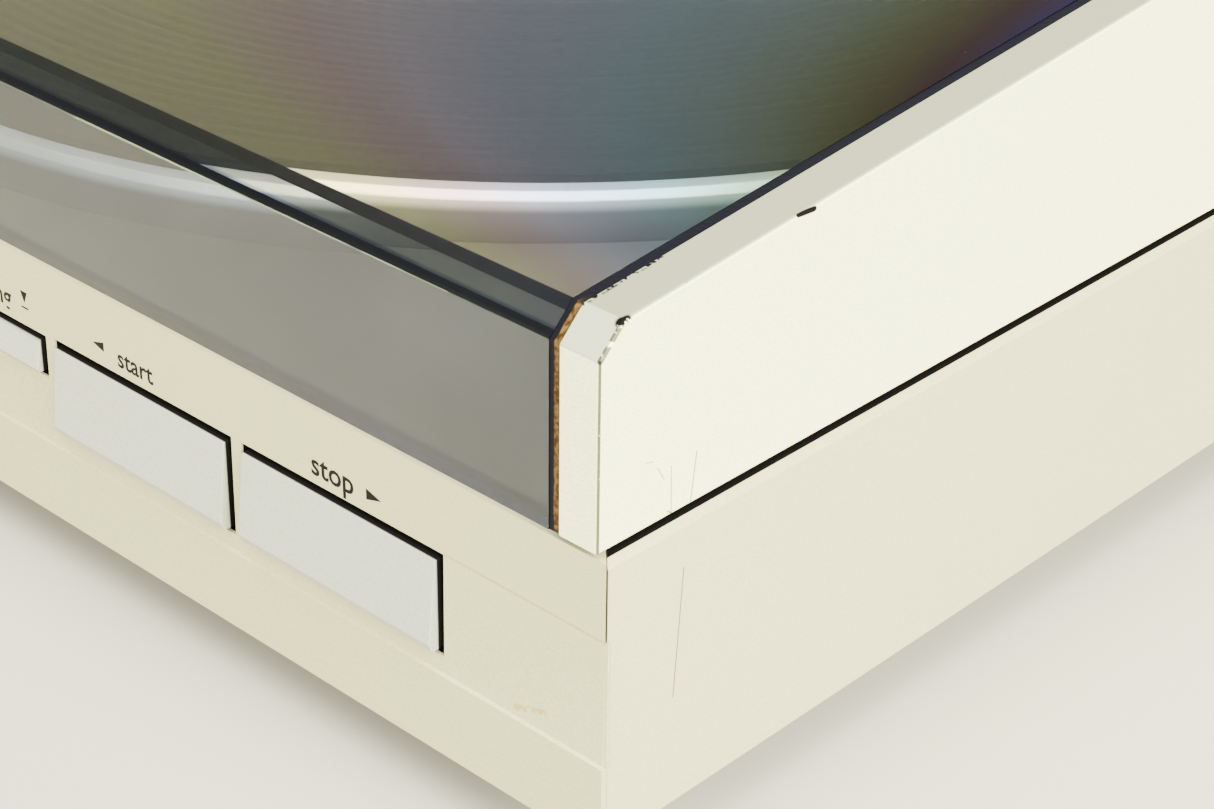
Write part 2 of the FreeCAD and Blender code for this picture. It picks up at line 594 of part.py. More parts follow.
def transformer():
    """A laminated core with the coil wound on its middle leg."""
    low = "foot_tall + cover_thick"
    y, z = ("core_front", "core_rear"), (low, "core_top")
    window_z = (f"{low} + yoke", "core_top - yoke")
    bay = "((core_right - core_left - 4 * leg) / 2)"
    left = ("core_left + leg", f"core_left + leg + {bay}")
    right = (f"core_right - leg - {bay}", "core_right - leg")
    through = ("core_front - past", "core_rear + past")
    core = cut(block(("core_left", "core_right"), y, z), block(left, through, window_z),
               block(right, through, window_z))
    node("transformer_core", core)
    winding = block((left[0], right[1]), ("core_front - coil_over", "core_rear + coil_over"), window_z)
    leg = block((left[1], right[0]), y, window_z)
    node("transformer_coil", cut(winding, leg))


CAPACITORS = ((-138, 300, 5, 16), (-124, 300, 5, 16), (-110, 318, 4, 12), (-96, 318, 4, 12),
              (-40, 285, 6, 16), (-40, 302, 6, 16))
CHIPS = ((-90, 280, 12, 5, 4), (-60, 300, 9, 4, 4), (-75, 325, 14, 5, 4), (-128, 280, 8, 4, 9),
         (-34, 325, 4, 10, 18))


def main_board():
    """The main circuit board, with its capacitors, chips and heat sink."""
    floor = "foot_tall + cover_thick + board_lift"
    top = f"{floor} + board_thick"
    node("main_board", block(("board_left", "board_right"), ("board_near", "board_far"), (floor, top)))
    parts = [rod("z", radius, x, y, (top, f"{top} + {tall}")) for x, y, radius, tall in CAPACITORS]
    parts += [block(about(x, half), about(y, half_deep), (top, f"{top} + {tall}"))
              for x, y, half, half_deep, tall in CHIPS]
    node("board_parts", group(*parts))


def rear_sockets():
    """Phono sockets, ground post and mains inlet in the rear wall."""
    rear = "case_deep"
    node("connector_plate", block(("jack_panel_left", "jack_panel_right"), (f"{rear} - wall", rear),
                                  ("jack_low", "jack_high")))
    jacks = []
    for x in ("jack_a", "jack_b"):
        base = rod("y", "jack_base_r", x, (rear, f"{rear} + jack_base"), "jack_z")
        barrel = rod("y", "jack_r", x, (rear, f"{rear} + jack_base + jack_long"), "jack_z")
        bore = rod("y", "jack_bore_r", x, (f"{rear} + jack_base", f"{rear} + jack_base + jack_long + past"),
                   "jack_z")
        jacks.append(cut(joined(base, barrel), bore))
    node("phono_jacks", group(*jacks))
    post = rod("y", "post_screw_r", "ground_x", (rear, f"{rear} + post_long"), "jack_z")
    knob = rod("y", "post_knob_r", "ground_x", (f"{rear} + post_knob_at", f"{rear} + post_long - post_tip"),
               "jack_z")
    node("ground_post", joined(post, knob))
    body = block(about("inlet_x", "inlet_half"), (f"{rear} - inlet_deep", rear),
                 about("inlet_z", "inlet_half_tall"))
    flange = block(about("inlet_x", "inlet_half + inlet_lip"), (rear, f"{rear} + inlet_flange"),
                   about("inlet_z", "inlet_half_tall + inlet_lip"))
    mouth = (f"{rear} + inlet_flange - inlet_hollow", f"{rear} + inlet_flange + past")
    hollow = [block(about("inlet_x", "inlet_pitch"), mouth, about("inlet_z", "inlet_round"))]
    pins = []
    for _, sign in SIDES:
        x = f"inlet_x + {sign} * inlet_pitch"
        hollow.append(rod("y", "inlet_round", x, mouth, "inlet_z"))
        pins.append(rod("y", "inlet_pin_r", x, (f"{mouth[0]} - past", f"{rear} - inlet_flange"), "inlet_z"))
    node("mains_inlet", joined(cut(joined(body, flange), *hollow), *pins))


# ---- lid -----------------------------------------------------------------------------

NOSE_Y = "(-lid_over)"
BROW_Y = "(lid_chamfer - lid_over)"
LID_REAR = "(case_deep - lid_rear_gap)"
SLANT = "sqrt(1 + lid_slope * lid_slope)"


def lid_top(y):
    """Height of the lid's sloping top at a depth."""
    return above(f"lid_nose + lid_chamfer + lid_slope * (({y}) - {BROW_Y})")


def glazing(sink):
    """Section of the clear cover: front wall, chamfer and sloping top."""
    thick = "(window_thick)"
    bend_y = f"({BROW_Y} + {thick} * (sqrt(2) - {SLANT}) / (1 - lid_slope))"
    inner_nose = above(f"lid_nose + {thick} * (1 - sqrt(2))")
    return [(f"{NOSE_Y} + {sink}", above("window_gap")),
            (f"{NOSE_Y} + {sink}", above(f"lid_nose - {sink} * (sqrt(2) - 1)")),
            (f"{BROW_Y} + {sink} * (sqrt(2) - 1)", f"{lid_top(BROW_Y)} - {sink}"),
            ("rail_front", f"{lid_top('rail_front')} - {sink}"),
            ("rail_front", f"{lid_top('rail_front')} - {thick} * {SLANT}"),
            (bend_y, f"{lid_top(bend_y)} - {thick} * {SLANT}"),
            (f"{NOSE_Y} + {thick}", inner_nose), (f"{NOSE_Y} + {thick}", above("window_gap"))]


CHEEK_OUT = f"({HALF} - lid_inset)"
CHEEK_IN = f"({HALF} - lid_inset - cheek_thick)"
GLASS_EDGE = f"({HALF} - lid_inset - cheek_thick - bond_thick)"


def lid_panels():
    """The clear cover, the two opaque cheeks that carry it and the bonds between them."""
    node("lid_window", prism("YZ", glazing("0"), f"-{GLASS_EDGE}", GLASS_EDGE))
    node("lid_bonds", group(prism("YZ", glazing("bond_sink"), GLASS_EDGE, CHEEK_IN),
                            prism("YZ", glazing("bond_sink"), f"-{CHEEK_IN}", f"-{GLASS_EDGE}")))
    side = [(NOSE_Y, above("lid_gap")), (NOSE_Y, above("lid_nose")), (BROW_Y, lid_top(BROW_Y)),
            (LID_REAR, lid_top(LID_REAR)), (LID_REAR, above("lid_gap"))]
    for name, sign in SIDES:
        span = sorted((f"{sign} * {CHEEK_IN}", f"{sign} * {CHEEK_OUT}"), key=amount)
        cheek = prism("YZ", side, *span)
        node("lid_cheek_" + name, bevelled(cheek, FreeCAD.Vector(sign, 0, 0)))


def lid_rear_rail():
    """The opaque rail that joins the cheeks behind the clear cover."""
    skin = f"window_thick * {SLANT}"
    inside = f"({LID_REAR} - rail_wall)"
    node("lid_rear_rail", prism("YZ", [
        ("rail_front", lid_top("rail_front")), (LID_REAR, lid_top(LID_REAR)),
        (LID_REAR, above("lid_gap")), (inside, above("lid_gap")),
        (inside, f"{lid_top(inside)} - {skin}"), ("rail_front", f"{lid_top('rail_front')} - {skin}")],
        f"-{CHEEK_IN}", CHEEK_IN))


def lid_bumpers():
    """Rubber buttons under the cheeks that the closed lid settles on."""
    middle = f"({CHEEK_IN} + {CHEEK_OUT}) / 2"
    level = (above("lid_gap - bumper_tall"), above("lid_gap"))
    node("lid_bumpers", group(*[rod("z", "bumper_r", f"{sign} * {middle}", y, level)
                                for _, sign in SIDES for y in ("bumper_near", "bumper_far")]))


# ---- hinges --------------------------------------------------------------------------

HINGE_Y = "(case_deep + hinge_reach - knuckle_r)"
HINGE_Z = f"({TOP} + hinge_rise)"


def hinge(name, sign):
    """One hinge: a base on the case's rear wall and a leaf on the lid's rear rail."""
    x = f"{sign} * hinge_x"
    plate = block(about(x, "hinge_half"), ("case_deep", "case_deep + leaf_thick"),
                  (below("base_foot_drop"), below("base_top_drop")))
    web = block(about(x, "knuckle_half"), ("case_deep", HINGE_Y),
                (below("base_foot_drop / 2"), HINGE_Z))
    knuckle = rod("x", "knuckle_r", about(x, "knuckle_half"), HINGE_Y, HINGE_Z)
    pin = rod("x", "pin_r", about(x, "hinge_half"), HINGE_Y, HINGE_Z)
    node("hinge_base_" + name, cut(joined(plate, web, knuckle), pin))
    leaf = [block(about(x, "hinge_half"), (LID_REAR, f"{LID_REAR} + leaf_thick"),
                  (above("leaf_low"), above("leaf_high")))]
    for _, side in SIDES:
        ends = (f"{x} + {side} * (knuckle_half + knuckle_gap)", f"{x} + {side} * hinge_half")
        span = sorted(ends, key=amount)
        leaf.append(rod("x", "knuckle_r", span, HINGE_Y, HINGE_Z))
        leaf.append(block(span, (LID_REAR, HINGE_Y), (HINGE_Z, above("leaf_low + leaf_thick"))))
    bore = rod("x", "pin_r + run_gap", about(x, "hinge_half + past"), HINGE_Y, HINGE_Z)
    node("hinge_leaf_" + name, cut(joined(*leaf), bore))


def hinge_fittings():
    """The hinge pins, and the screws that hold both halves of the hinges."""
    node("hinge_pins", group(*[rod("x", "pin_r", about(f"{sign} * hinge_x", "hinge_half"), HINGE_Y,
                                   HINGE_Z) for _, sign in SIDES]))
    spots = [f"{sign} * hinge_x + {side} * hinge_screw_x" for _, sign in SIDES for _, side in SIDES]
    seat = "case_deep + leaf_thick"
    node("hinge_screws", group(*[screw("y", x, seat, below("hinge_screw_drop"), -1) for x in spots]))
    lid_seat = f"{LID_REAR} + leaf_thick"
    node("leaf_screws", group(*[screw("y", x, lid_seat, above("leaf_screw_rise"), -1) for x in spots]))


# ---- tonearm -------------------------------------------------------------------------

ARM_Z = f"({TOP} + arm_rise)"


def arm_guide():
    """The rod that the carriage slides on and the two brackets that hold it."""
    node("guide_rod", rod("x", "guide_r", ("guide_left", "guide_right"), "guide_y", ARM_Z))
    depth = ("guide_block_near", "guide_block_far")
    level = (below("deck_drop"), above("guide_block_rise"))
    node("guide_brackets", group(
        block(("guide_left - bracket_wide", "guide_left"), depth, level),
        block(("guide_right", "guide_right + end_wide"), depth, level)))


def arm_carriage():
    """The block that slides on the rod, with a cord clamp below and two ears in front."""
    body = block(("arm_x - carriage_left", "arm_x + carriage_right"), ("carriage_near", "carriage_far"),
                 about(ARM_Z, "carriage_half"))
    cord_line = "wheel_y - (wheel_r - wheel_groove + cord_gap + cord_r)"
    clamp = block(("arm_x - clamp_left", "arm_x - clamp_right"), about(cord_line, "clamp_half"),
                  (above("clamp_foot"), ARM_Z))
    ears = []
    for _, sign in SIDES:
        span = sorted((f"arm_x + {sign} * ear_in", f"arm_x + {sign} * (ear_in + ear_thick)"), key=amount)
        ears.append(block(span, ("ear_near", "carriage_near"), about(ARM_Z, "ear_half")))
    bore = rod("x", "guide_r + run_gap", ("0", HALF), "guide_y", ARM_Z)
    pivot = rod("x", "pivot_r + run_gap", ("0", HALF), "pivot_y", ARM_Z)
    node("arm_carriage", cut(joined(body, clamp, *ears), bore, pivot))


def tonearm():
    """The arm tube on its pivot, with the headshell, cartridge and stylus."""
    block_x = about("arm_x", "block_half")
    heel = block(block_x, ("block_near", "block_far"), about(ARM_Z, "block_half"))
    axle = rod("x", "pivot_r", about("arm_x", "ear_in + ear_thick"), "pivot_y", ARM_Z)
    tube = rod("y", "tube_r", "arm_x", ("tube_front", "block_near"), ARM_Z)
    hollow = rod("y", "tube_r - tube_wall", "arm_x", ("shell_rear", "block_near"), ARM_Z)
    node("arm_tube", joined(cut(tube, hollow), heel, axle))
    level = (above("shell_low"), above("shell_high"))
    shell = prism("XY", [("arm_x - shell_nose", "shell_front"), ("arm_x + shell_nose", "shell_front"),
                         ("arm_x + shell_half", "cart_front"), ("arm_x + shell_half", "cart_rear"),
                         ("arm_x + shell_nose", "shell_rear"), ("arm_x - shell_nose", "shell_rear"),
                         ("arm_x - shell_half", "cart_rear"), ("arm_x - shell_half", "cart_front")],
                  *level)
    node("headshell", cut(shell, rod("y", "tube_r", "arm_x", ("tube_front", "block_near"), ARM_Z)))
    node("cartridge", block(about("arm_x", "cart_half"), ("cart_front", "cart_rear"),
                            (above("cart_low"), above("shell_low"))))
    node("stylus", rod("z", "stylus_r", "arm_x", "stylus_y", (above("stylus_tip"), above("cart_low"))))


def arm_rest():
    """The post that holds the arm when it is down at the side of the platter."""
    post = rod("z", "rest_r", "arm_x", "rest_y", (below("deck_drop"), above("rest_rise")))
    cup = rod("y", "tube_r + run_gap", "arm_x", ("rest_y - 2 * rest_r", "rest_y + 2 * rest_r"),
              above("rest_rise + tube_r - rest_cup"))
    node("arm_rest", cut(post, cup))


def cord_wheel(name, x, shaft_foot):
    """A grooved wheel of the cord drive, with its shaft below."""
    low, high = above("cord_rise - wheel_half"), above("cord_rise + wheel_half")
    groove = "wheel_r - wheel_groove"
    node(name, turned([("0", shaft_foot), ("wheel_shaft_r", shaft_foot), ("wheel_shaft_r", low),
                       ("wheel_r", low), (groove, above("cord_rise - cord_r")),
                       (groove, above("cord_rise + cord_r")), ("wheel_r", high), ("0", high)],
                      x, "wheel_y"))


def cord_drive():
    """The cord that pulls the carriage, its two wheels and the motor that turns one."""
    cord_wheel("driver_wheel", "driver_x", below("driver_shaft_drop"))
    cord_wheel("idler_wheel", "idler_x", above("idler_shaft_rise"))
    left, right = FreeCAD.Vector(amount("driver_x"), 0, 0), FreeCAD.Vector(amount("idler_x"), 0, 0)
    inner = amount("wheel_r - wheel_groove + cord_gap")
    outer = inner + amount("2 * cord_r")
    tall = FreeCAD.Vector(0, 0, amount("2 * cord_r"))
    cord = doc.addObject("Part::Feature", "drive_cord")
    cord.Shape = loop_face(left, outer, right, outer).extrude(tall).cut(
        loop_face(left, inner, right, inner).extrude(tall))
    place(cord, "0", "wheel_y", above("cord_rise - cord_r"))
    node("drive_cord", cord)
    can = rod("z", "arm_motor_r", "driver_x", "wheel_y",
              (below("arm_motor_foot"), below("deck_drop + deck_thick")))
    bore = rod("z", "wheel_shaft_r + run_gap", "driver_x", "wheel_y",
               (below("driver_shaft_drop + past"), TOP))
    node("arm_motor", cut(can, bore))


def arm_hood():
    """The cover over the carriage and its drive, with a long slot for the arm."""
    outer = block(("-hood_half", "hood_half"), ("hood_near", "hood_far"),
                  (below("deck_drop"), above("hood_rise")))
    inner = block(about("0", "hood_half - hood_wall"), ("hood_near + hood_wall", "hood_far - hood_wall"),
                  (below("deck_drop + past"), above("hood_rise - hood_wall")))
    slot = block(("hood_slot_left", "hood_half - hood_wall"),
                 ("hood_near - past", "hood_near + 2 * hood_wall"),
                 (above("hood_slot_low"), above("hood_slot_high")))
    node("arm_hood", cut(outer, inner, slot))


# ---- build, check and write ------------------------------------------------------------

def build():
    case_shell()
    front_panel()
    key_shaft()
    for name in KEYS:
        key(name)
    key_board()
    deck_plate()
    bottom_cover()
    feet()
    platter()
    platter_spindle()
    bearing()
    motor_mount()
    motor_pulley()
    drive_belt()
    transformer()
    main_board()
    rear_sockets()
    lid_panels()
    lid_rear_rail()
    lid_bumpers()
    for name, sign in SIDES:
        hinge(name, sign)
    hinge_fittings()
    arm_guide()
    arm_carriage()
    tonearm()
    arm_rest()
    cord_drive()
    arm_hood()
    doc.recompute()


def check():
    for obj in doc.Objects:
        if "Invalid" in obj.State or "Error" in obj.State:
            raise RuntimeError(f"{obj.Name} ({obj.Label}) failed: {obj.State}")
    for obj in nodes:
        if obj.Shape.isNull() or not obj.Shape.isValid() or not obj.Shape.Solids:
            raise RuntimeError(f"{obj.Label} has no valid solid")


def write():
    os.makedirs("parts", exist_ok=True)
    for obj in nodes:
        obj.Shape.exportStep(f"parts/{obj.Label}.step")
    whole = Part.makeCompound([obj.Shape for obj in nodes]).BoundBox
    print(len(nodes), "sub-parts; box", [round(v, 3) for v in (
        whole.XMin, whole.XMax, whole.YMin, whole.YMax, whole.ZMin, whole.ZMax)])


build()
check()
write()
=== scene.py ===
# %% [markdown]
# # A compact record player
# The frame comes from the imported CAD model: every piece below is placed from its boxes and rides on
# its bodies. This lesson dresses that frame: paint, smoked acrylic, turned metal, rubber, lettering
# and wear. Lengths are in metres, and MM turns millimetres into them.

# %% Load the frame
import json
import math

import bmesh
import bpy
from mathutils import Matrix, Vector


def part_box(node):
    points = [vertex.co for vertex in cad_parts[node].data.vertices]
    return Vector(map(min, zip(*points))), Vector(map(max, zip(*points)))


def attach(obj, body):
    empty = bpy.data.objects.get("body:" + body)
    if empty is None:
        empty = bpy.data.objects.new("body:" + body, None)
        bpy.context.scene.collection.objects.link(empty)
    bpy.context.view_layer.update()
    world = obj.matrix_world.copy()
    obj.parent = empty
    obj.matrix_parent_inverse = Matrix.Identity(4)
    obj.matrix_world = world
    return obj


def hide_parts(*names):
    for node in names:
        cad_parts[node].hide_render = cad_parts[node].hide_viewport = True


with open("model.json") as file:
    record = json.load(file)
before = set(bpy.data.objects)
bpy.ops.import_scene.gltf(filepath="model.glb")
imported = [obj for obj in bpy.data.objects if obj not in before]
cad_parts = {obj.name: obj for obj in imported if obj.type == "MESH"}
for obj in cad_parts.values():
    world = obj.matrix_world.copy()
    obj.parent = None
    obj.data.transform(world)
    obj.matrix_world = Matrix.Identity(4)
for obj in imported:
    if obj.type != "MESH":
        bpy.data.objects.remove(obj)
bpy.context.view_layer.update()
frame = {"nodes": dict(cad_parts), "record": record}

MM = 0.001
record = frame["record"]
body_of = {node: body for body, nodes in record["behaviour"]["bodies"].items() for node in nodes}
slot_of = {part["node"]: part["material_slot"] for part in record["subparts"]}
mount_at = {mount["name"]: Vector(mount["pos_m"]) for mount in record["mounts"]}

# %% [markdown]
# The front right top corner of the case is the easiest point to measure everything else from, so it
# gets a name first. The front panel's skirt stands a little proud, so the panel's own face is found
# from the side walls, which start one seam behind it.

# %% Landmarks
SEAM = 0.2 * MM
case_low, case_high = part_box("case_shell")
FACE_Y = case_low.y - SEAM
TOP_Z = case_high.z
RIGHT_X = case_high.x
LID_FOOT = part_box("lid_cheek_right")[0].z
CORNER = Vector((RIGHT_X, FACE_Y, TOP_Z))
platter_low, platter_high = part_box("platter")
PLATTER_AXIS = Vector(((platter_low.x + platter_high.x) / 2, (platter_low.y + platter_high.y) / 2, 0))


def from_corner(x, y, z):
    """A place given in millimetres right of, behind and above the case's corner."""
    return CORNER + Vector((x, y, z)) * MM


print("corner", [round(v, 4) for v in CORNER])

# %% [markdown]
# ## Camera
# A long lens a third of a metre from the corner looks down at thirty degrees. Its heading is
# turned from the depth axis towards the left, and it leans by under a degree.

# %% Camera
LENS, SENSOR = 79.78, 36.0
CAMERA_PITCH, CAMERA_HEADING, CAMERA_ROLL = 29.7617, 43.0551, 0.8412
CAMERA_PLACE = from_corner(194.46, -208.47, 186.38)
camera_data = bpy.data.cameras.new("camera")
camera_data.lens, camera_data.sensor_width = LENS, SENSOR
camera_data.sensor_fit = "HORIZONTAL"
camera_data.clip_start = 1 * MM
camera = bpy.data.objects.new("camera", camera_data)
bpy.context.scene.collection.objects.link(camera)
look = (Matrix.Rotation(math.radians(CAMERA_HEADING), 4, "Z")
        @ Matrix.Rotation(math.radians(90 - CAMERA_PITCH), 4, "X")
        @ Matrix.Rotation(math.radians(CAMERA_ROLL), 4, "Z"))
camera.matrix_world = Matrix.Translation(CAMERA_PLACE) @ look
bpy.context.scene.camera = camera
print("camera", [round(v, 3) for v in CAMERA_PLACE])

# %% [markdown]
# ## Studio
# A pale table, a bright surround that darkens overhead, and large soft lamps. The sides of the case
# face the brightest part of the surround, so they come out lighter than what faces up.

# %% Table
TABLE_SIZE, TABLE_TONE, TABLE_ROUGHNESS = 6.0, (0.40, 0.38, 0.28), 0.7


def plain_colour(name, colour, roughness):
    material = bpy.data.materials.new(name)
    material.use_nodes = True
    shader = material.node_tree.nodes["Principled BSDF"]
    shader.inputs["Base Color"].default_value = (*colour, 1)
    shader.inputs["Roughness"].default_value = roughness
    return material


table_mesh = bpy.data.meshes.new("table")
reach = TABLE_SIZE / 2
outline = [(-reach, -reach, 0), (reach, -reach, 0), (reach, reach, 0), (-reach, reach, 0)]
table_mesh.from_pydata(outline, [], [range(len(outline))])
table_mesh.materials.append(plain_colour("table_top", TABLE_TONE, TABLE_ROUGHNESS))
table = bpy.data.objects.new("table", table_mesh)
bpy.context.scene.collection.objects.link(table)
print("table", TABLE_SIZE)

# %% Surround
SKY_GREYS = ((0.12, 1.0), (0.34, 0.42), (0.55, 0.20), (1.0, 0.42))
SKY_WARMTH, SKY_STRENGTH = (1, 0.99, 0.955), 1.7
world = bpy.data.worlds.new("surround")
bpy.context.scene.world = world
world.use_nodes = True
sky = world.node_tree.nodes
joins = world.node_tree.links
direction = sky.new("ShaderNodeTexCoord")
split = sky.new("ShaderNodeSeparateXYZ")
shade = sky.new("ShaderNodeValToRGB")
stops = shade.color_ramp.elements
for at, grey in SKY_GREYS:
    stops.new(at).color = (*(grey * part for part in SKY_WARMTH), 1)
stops[0].color, stops[-1].color = stops[1].color, stops[-2].color
joins.new(direction.outputs["Generated"], split.inputs[0])
joins.new(split.outputs["Z"], shade.inputs[0])
joins.new(shade.outputs[0], sky["Background"].inputs["Color"])
sky["Background"].inputs["Strength"].default_value = SKY_STRENGTH
print("surround stops", len(stops))

# %% Lamps
LAMP_TINT, LAMP_AIM = (1, 0.985, 0.95), Vector((0, 0, 0.05))


def soft_lamp(name, place, size, power):
    """A large lamp aimed at the player: its size in metres and its power in watts."""
    data = bpy.data.lights.new(name, "AREA")
    data.shape, data.size, data.size_y = "RECTANGLE", *size
    data.energy, data.color = power, LAMP_TINT
    lamp = bpy.data.objects.new(name, data)
    bpy.context.scene.collection.objects.link(lamp)
    lamp.location = place
    lamp.rotation_euler = (LAMP_AIM - Vector(place)).to_track_quat("-Z", "Y").to_euler()


soft_lamp("lamp_right", (1.7, -0.35, 0.9), (1.4, 1.1), 215)
soft_lamp("lamp_front", (0.5, -1.8, 0.9), (1.6, 1.0), 80)
soft_lamp("lamp_over", (0.3, -0.5, 1.9), (1.5, 1.5), 110)
print("lamps 3")

# %% [markdown]
# ## Shader arithmetic
# A material is easier to read as sums than as boxes and wires. `Wire` stands for one socket and turns
# Python's operators into Math nodes; `Recipe` owns the tree and makes every other kind of node.

# %% Wire and Recipe


class Wire:
    """An output socket that can be added, multiplied and compared like a number."""

    def __init__(self, recipe, socket):
        self.recipe, self.socket = recipe, socket

    def _do(self, operation, *terms):
        return self.recipe.node("ShaderNodeMath", {"operation": operation}, terms)

    def __add__(self, other):
        return self._do("ADD", self, other)

    def __sub__(self, other):
        return self._do("SUBTRACT", self, other)

    def __rsub__(self, other):
        return self._do("SUBTRACT", other, self)

    def __mul__(self, other):
        return self._do("MULTIPLY", self, other)

    def __truediv__(self, other):
        return self._do("DIVIDE", self, other)

    def __rtruediv__(self, other):
        return self._do("DIVIDE", other, self)

    def __pow__(self, other):
        return self._do("POWER", self, other)

    def __abs__(self):
        return self._do("ABSOLUTE", self)

    __radd__, __rmul__ = __add__, __mul__

    def least(self, other):
        return self._do("MINIMUM", self, other)

    def most(self, other):
        return self._do("MAXIMUM", self, other)

    def above(self, other):
        return self._do("GREATER_THAN", self, other)

    def below(self, other):
        return self._do("LESS_THAN", self, other)

    def sine(self):
        return self._do("SINE", self)

    def power_of_e(self):
        return self._do("EXPONENT", self)

    def step(self, low, high):
        """0 below low, 1 above high and smooth between; low may be the larger."""
        return self.recipe.node("ShaderNodeMapRange", {"interpolation_type": "SMOOTHSTEP"},
                                (self, low, high, 0.0, 1.0))


class Recipe:
    """A material that is being mixed."""

    def __init__(self, name):
        self.material = bpy.data.materials.new(name)
        self.material.use_nodes = True
        self.tree = self.material.node_tree
        self.tree.nodes.clear()

    def node(self, kind, settings=None, inputs=(), out=0):
        """Adds a node: its settings first, then values or links by position or name."""
        made = self.tree.nodes.new(kind)
        for key, value in (settings or {}).items():
            if key == "stops":
                self._stops(made.color_ramp, value)
            else:
                setattr(made, key, value)
        pairs = inputs.items() if isinstance(inputs, dict) else enumerate(inputs)
        for key, value in pairs:
            if isinstance(value, Wire):
                self.tree.links.new(value.socket, made.inputs[key])
            elif value is not None:
                made.inputs[key].default_value = value
        return Wire(self, made.outputs[out])

    @staticmethod
    def _stops(ramp, stops):
        while len(ramp.elements) < len(stops):
            ramp.elements.new(0.5)
        for element, (place, colour) in zip(ramp.elements, stops):
            element.position, element.color = place, (*colour, 1)

    def place(self):
        return self.node("ShaderNodeTexCoord", out="Object")

    def shifted(self, centre):
        """Object coordinates measured from a point, in metres."""
        return self.node("ShaderNodeVectorMath", {"operation": "SUBTRACT"}, (self.place(), centre))

    def axis(self, vector, name):
        return self.node("ShaderNodeSeparateXYZ", None, (vector,), out="XYZ".index(name))

    def stretched(self, vector, factors):
        return self.node("ShaderNodeVectorMath", {"operation": "MULTIPLY"}, (vector, factors))

    def length(self, vector):
        return self.node("ShaderNodeVectorMath", {"operation": "LENGTH"}, (vector,), out="Value")

    def noise(self, size, detail=2.0, at=None, roughness=0.5):
        """Soft noise whose lumps are about this many metres across."""
        return self.node("ShaderNodeTexNoise", None,
                         {"Vector": at or self.place(), "Scale": 1 / size, "Detail": detail,
                          "Roughness": roughness})

    def ramp(self, value, stops):
        return self.node("ShaderNodeValToRGB", {"stops": stops}, (value,))

    def mix(self, share, first, second):
        """A colour between two colours."""
        first, second = [(*c, 1) if isinstance(c, tuple) else c for c in (first, second)]
        made = self.tree.nodes.new("ShaderNodeMix")
        made.data_type = "RGBA"
        factor, from_colour, to_colour = [made.inputs[index] for index in (0, 6, 7)]
        for socket, value in ((factor, share), (from_colour, first), (to_colour, second)):
            if isinstance(value, Wire):
                self.tree.links.new(value.socket, socket)
            else:
                socket.default_value = value
        return Wire(self, made.outputs[2])

    def dimmed(self, colour, factor):
        """A colour with its brightness multiplied by a number."""
        grey = self.node("ShaderNodeCombineXYZ", None, (factor, factor, factor))
        return self.node("ShaderNodeVectorMath", {"operation": "MULTIPLY"}, (colour, grey))

    def bump(self, height, depth):
        """A bump whose height of 1 stands for this many metres."""
        return self.node("ShaderNodeBump", None,
                         {"Height": height, "Distance": depth, "Strength": 1.0})

    def line(self, start, end, width, soft):
        """1 on the straight line between two points and 0 away from it."""
        run = end - start
        from_start = self.shifted(tuple(start))
        along = self.node("ShaderNodeVectorMath", {"operation": "DOT_PRODUCT"},
                          (from_start, tuple(run / run.length_squared)), out="Value")
        along = along.most(0.0).least(1.0)
        foot = self.node("ShaderNodeVectorMath", {"operation": "SCALE"},
                         {0: tuple(run), "Scale": along})
        away = self.node("ShaderNodeVectorMath", {"operation": "DISTANCE"}, (from_start, foot),
                         out="Value")
        return away.step(width / 2 + soft, width / 2)

    def finish(self, **settings):
        """A Principled shader with these inputs, wired to the output."""
        inputs = {key.replace("_", " ").title().replace("Ior", "IOR"): value
                  for key, value in settings.items()}
        return self.output(self.node("ShaderNodeBsdfPrincipled", None, inputs))

    def output(self, shader):
        leave = self.tree.nodes.new("ShaderNodeOutputMaterial")
        self.tree.links.new(shader.socket, leave.inputs["Surface"])
        return self.material


print("one class for a socket, one for a material")


# %% [markdown]
# ## Champagne paint
# The case is moulded plastic under a champagne lacquer with fine metal flake in it. Flake is a noise
# of under half a millimetre that moves the brightness a little; age adds wide, faint clouds of
# warmth. Chips are dark islands near edges, and scratches are thin lines between two points, so both
# are masks of the distance from a line. Painted shade goes on as marks as well: near-black unpainted
# plastic in the gaps under the lid, in the seam and in the key slots, a grey line along the panel's
# crease, and darker tones on the cheek's top strip and chamfer. Where a mark is dark, whether the
# lacquer is gone there or the mark paints shade, the gloss has to go too: a metal as dark as that
# reflects next to nothing.

# %% Champagne paint
CHAMPAGNE, PALE_CHAMPAGNE, SILVER = (0.44, 0.42, 0.215), (0.83, 0.85, 0.44), (0.37, 0.38, 0.30)
# The grey is for scratches and also paints shade along the front panel's crease.
CHIP_DARK, SCRATCH_AND_CREASE_SHADE_GREY = (0.008, 0.007, 0.006), (0.055, 0.052, 0.045)
# The near-black plastic paints the shade in the gaps under the lid, in the seam and in the key slots.
OLD_GLUE, BARE_PLASTIC_IN_SHADE = (0.38, 0.28, 0.07), (0.0130, 0.0123, 0.0116)
# The next two paint shade on the cheek: the darker one on its top strip, the other on its chamfer.
TOP_STRIP_SHADE, CHAMFER_SHADE = (0.125, 0.135, 0.095), (0.36, 0.37, 0.24)
FLAKE, FLAKE_SWING, ORANGE_PEEL, CLOUD = 0.32 * MM, 0.9, 1.1 * MM, 90 * MM
AGED_WARMTH = (1.0, 0.985, 0.93)
SATIN, FLAKE_ROUGHNESS, FLAKE_METAL, PEEL_DEPTH = 0.36, 0.18, 0.1, 0.010 * MM
NO_GLOSS, BARE_AND_SHADE_ROUGHNESS = 0.06, 0.3
LID_SLOPE = 0.09506


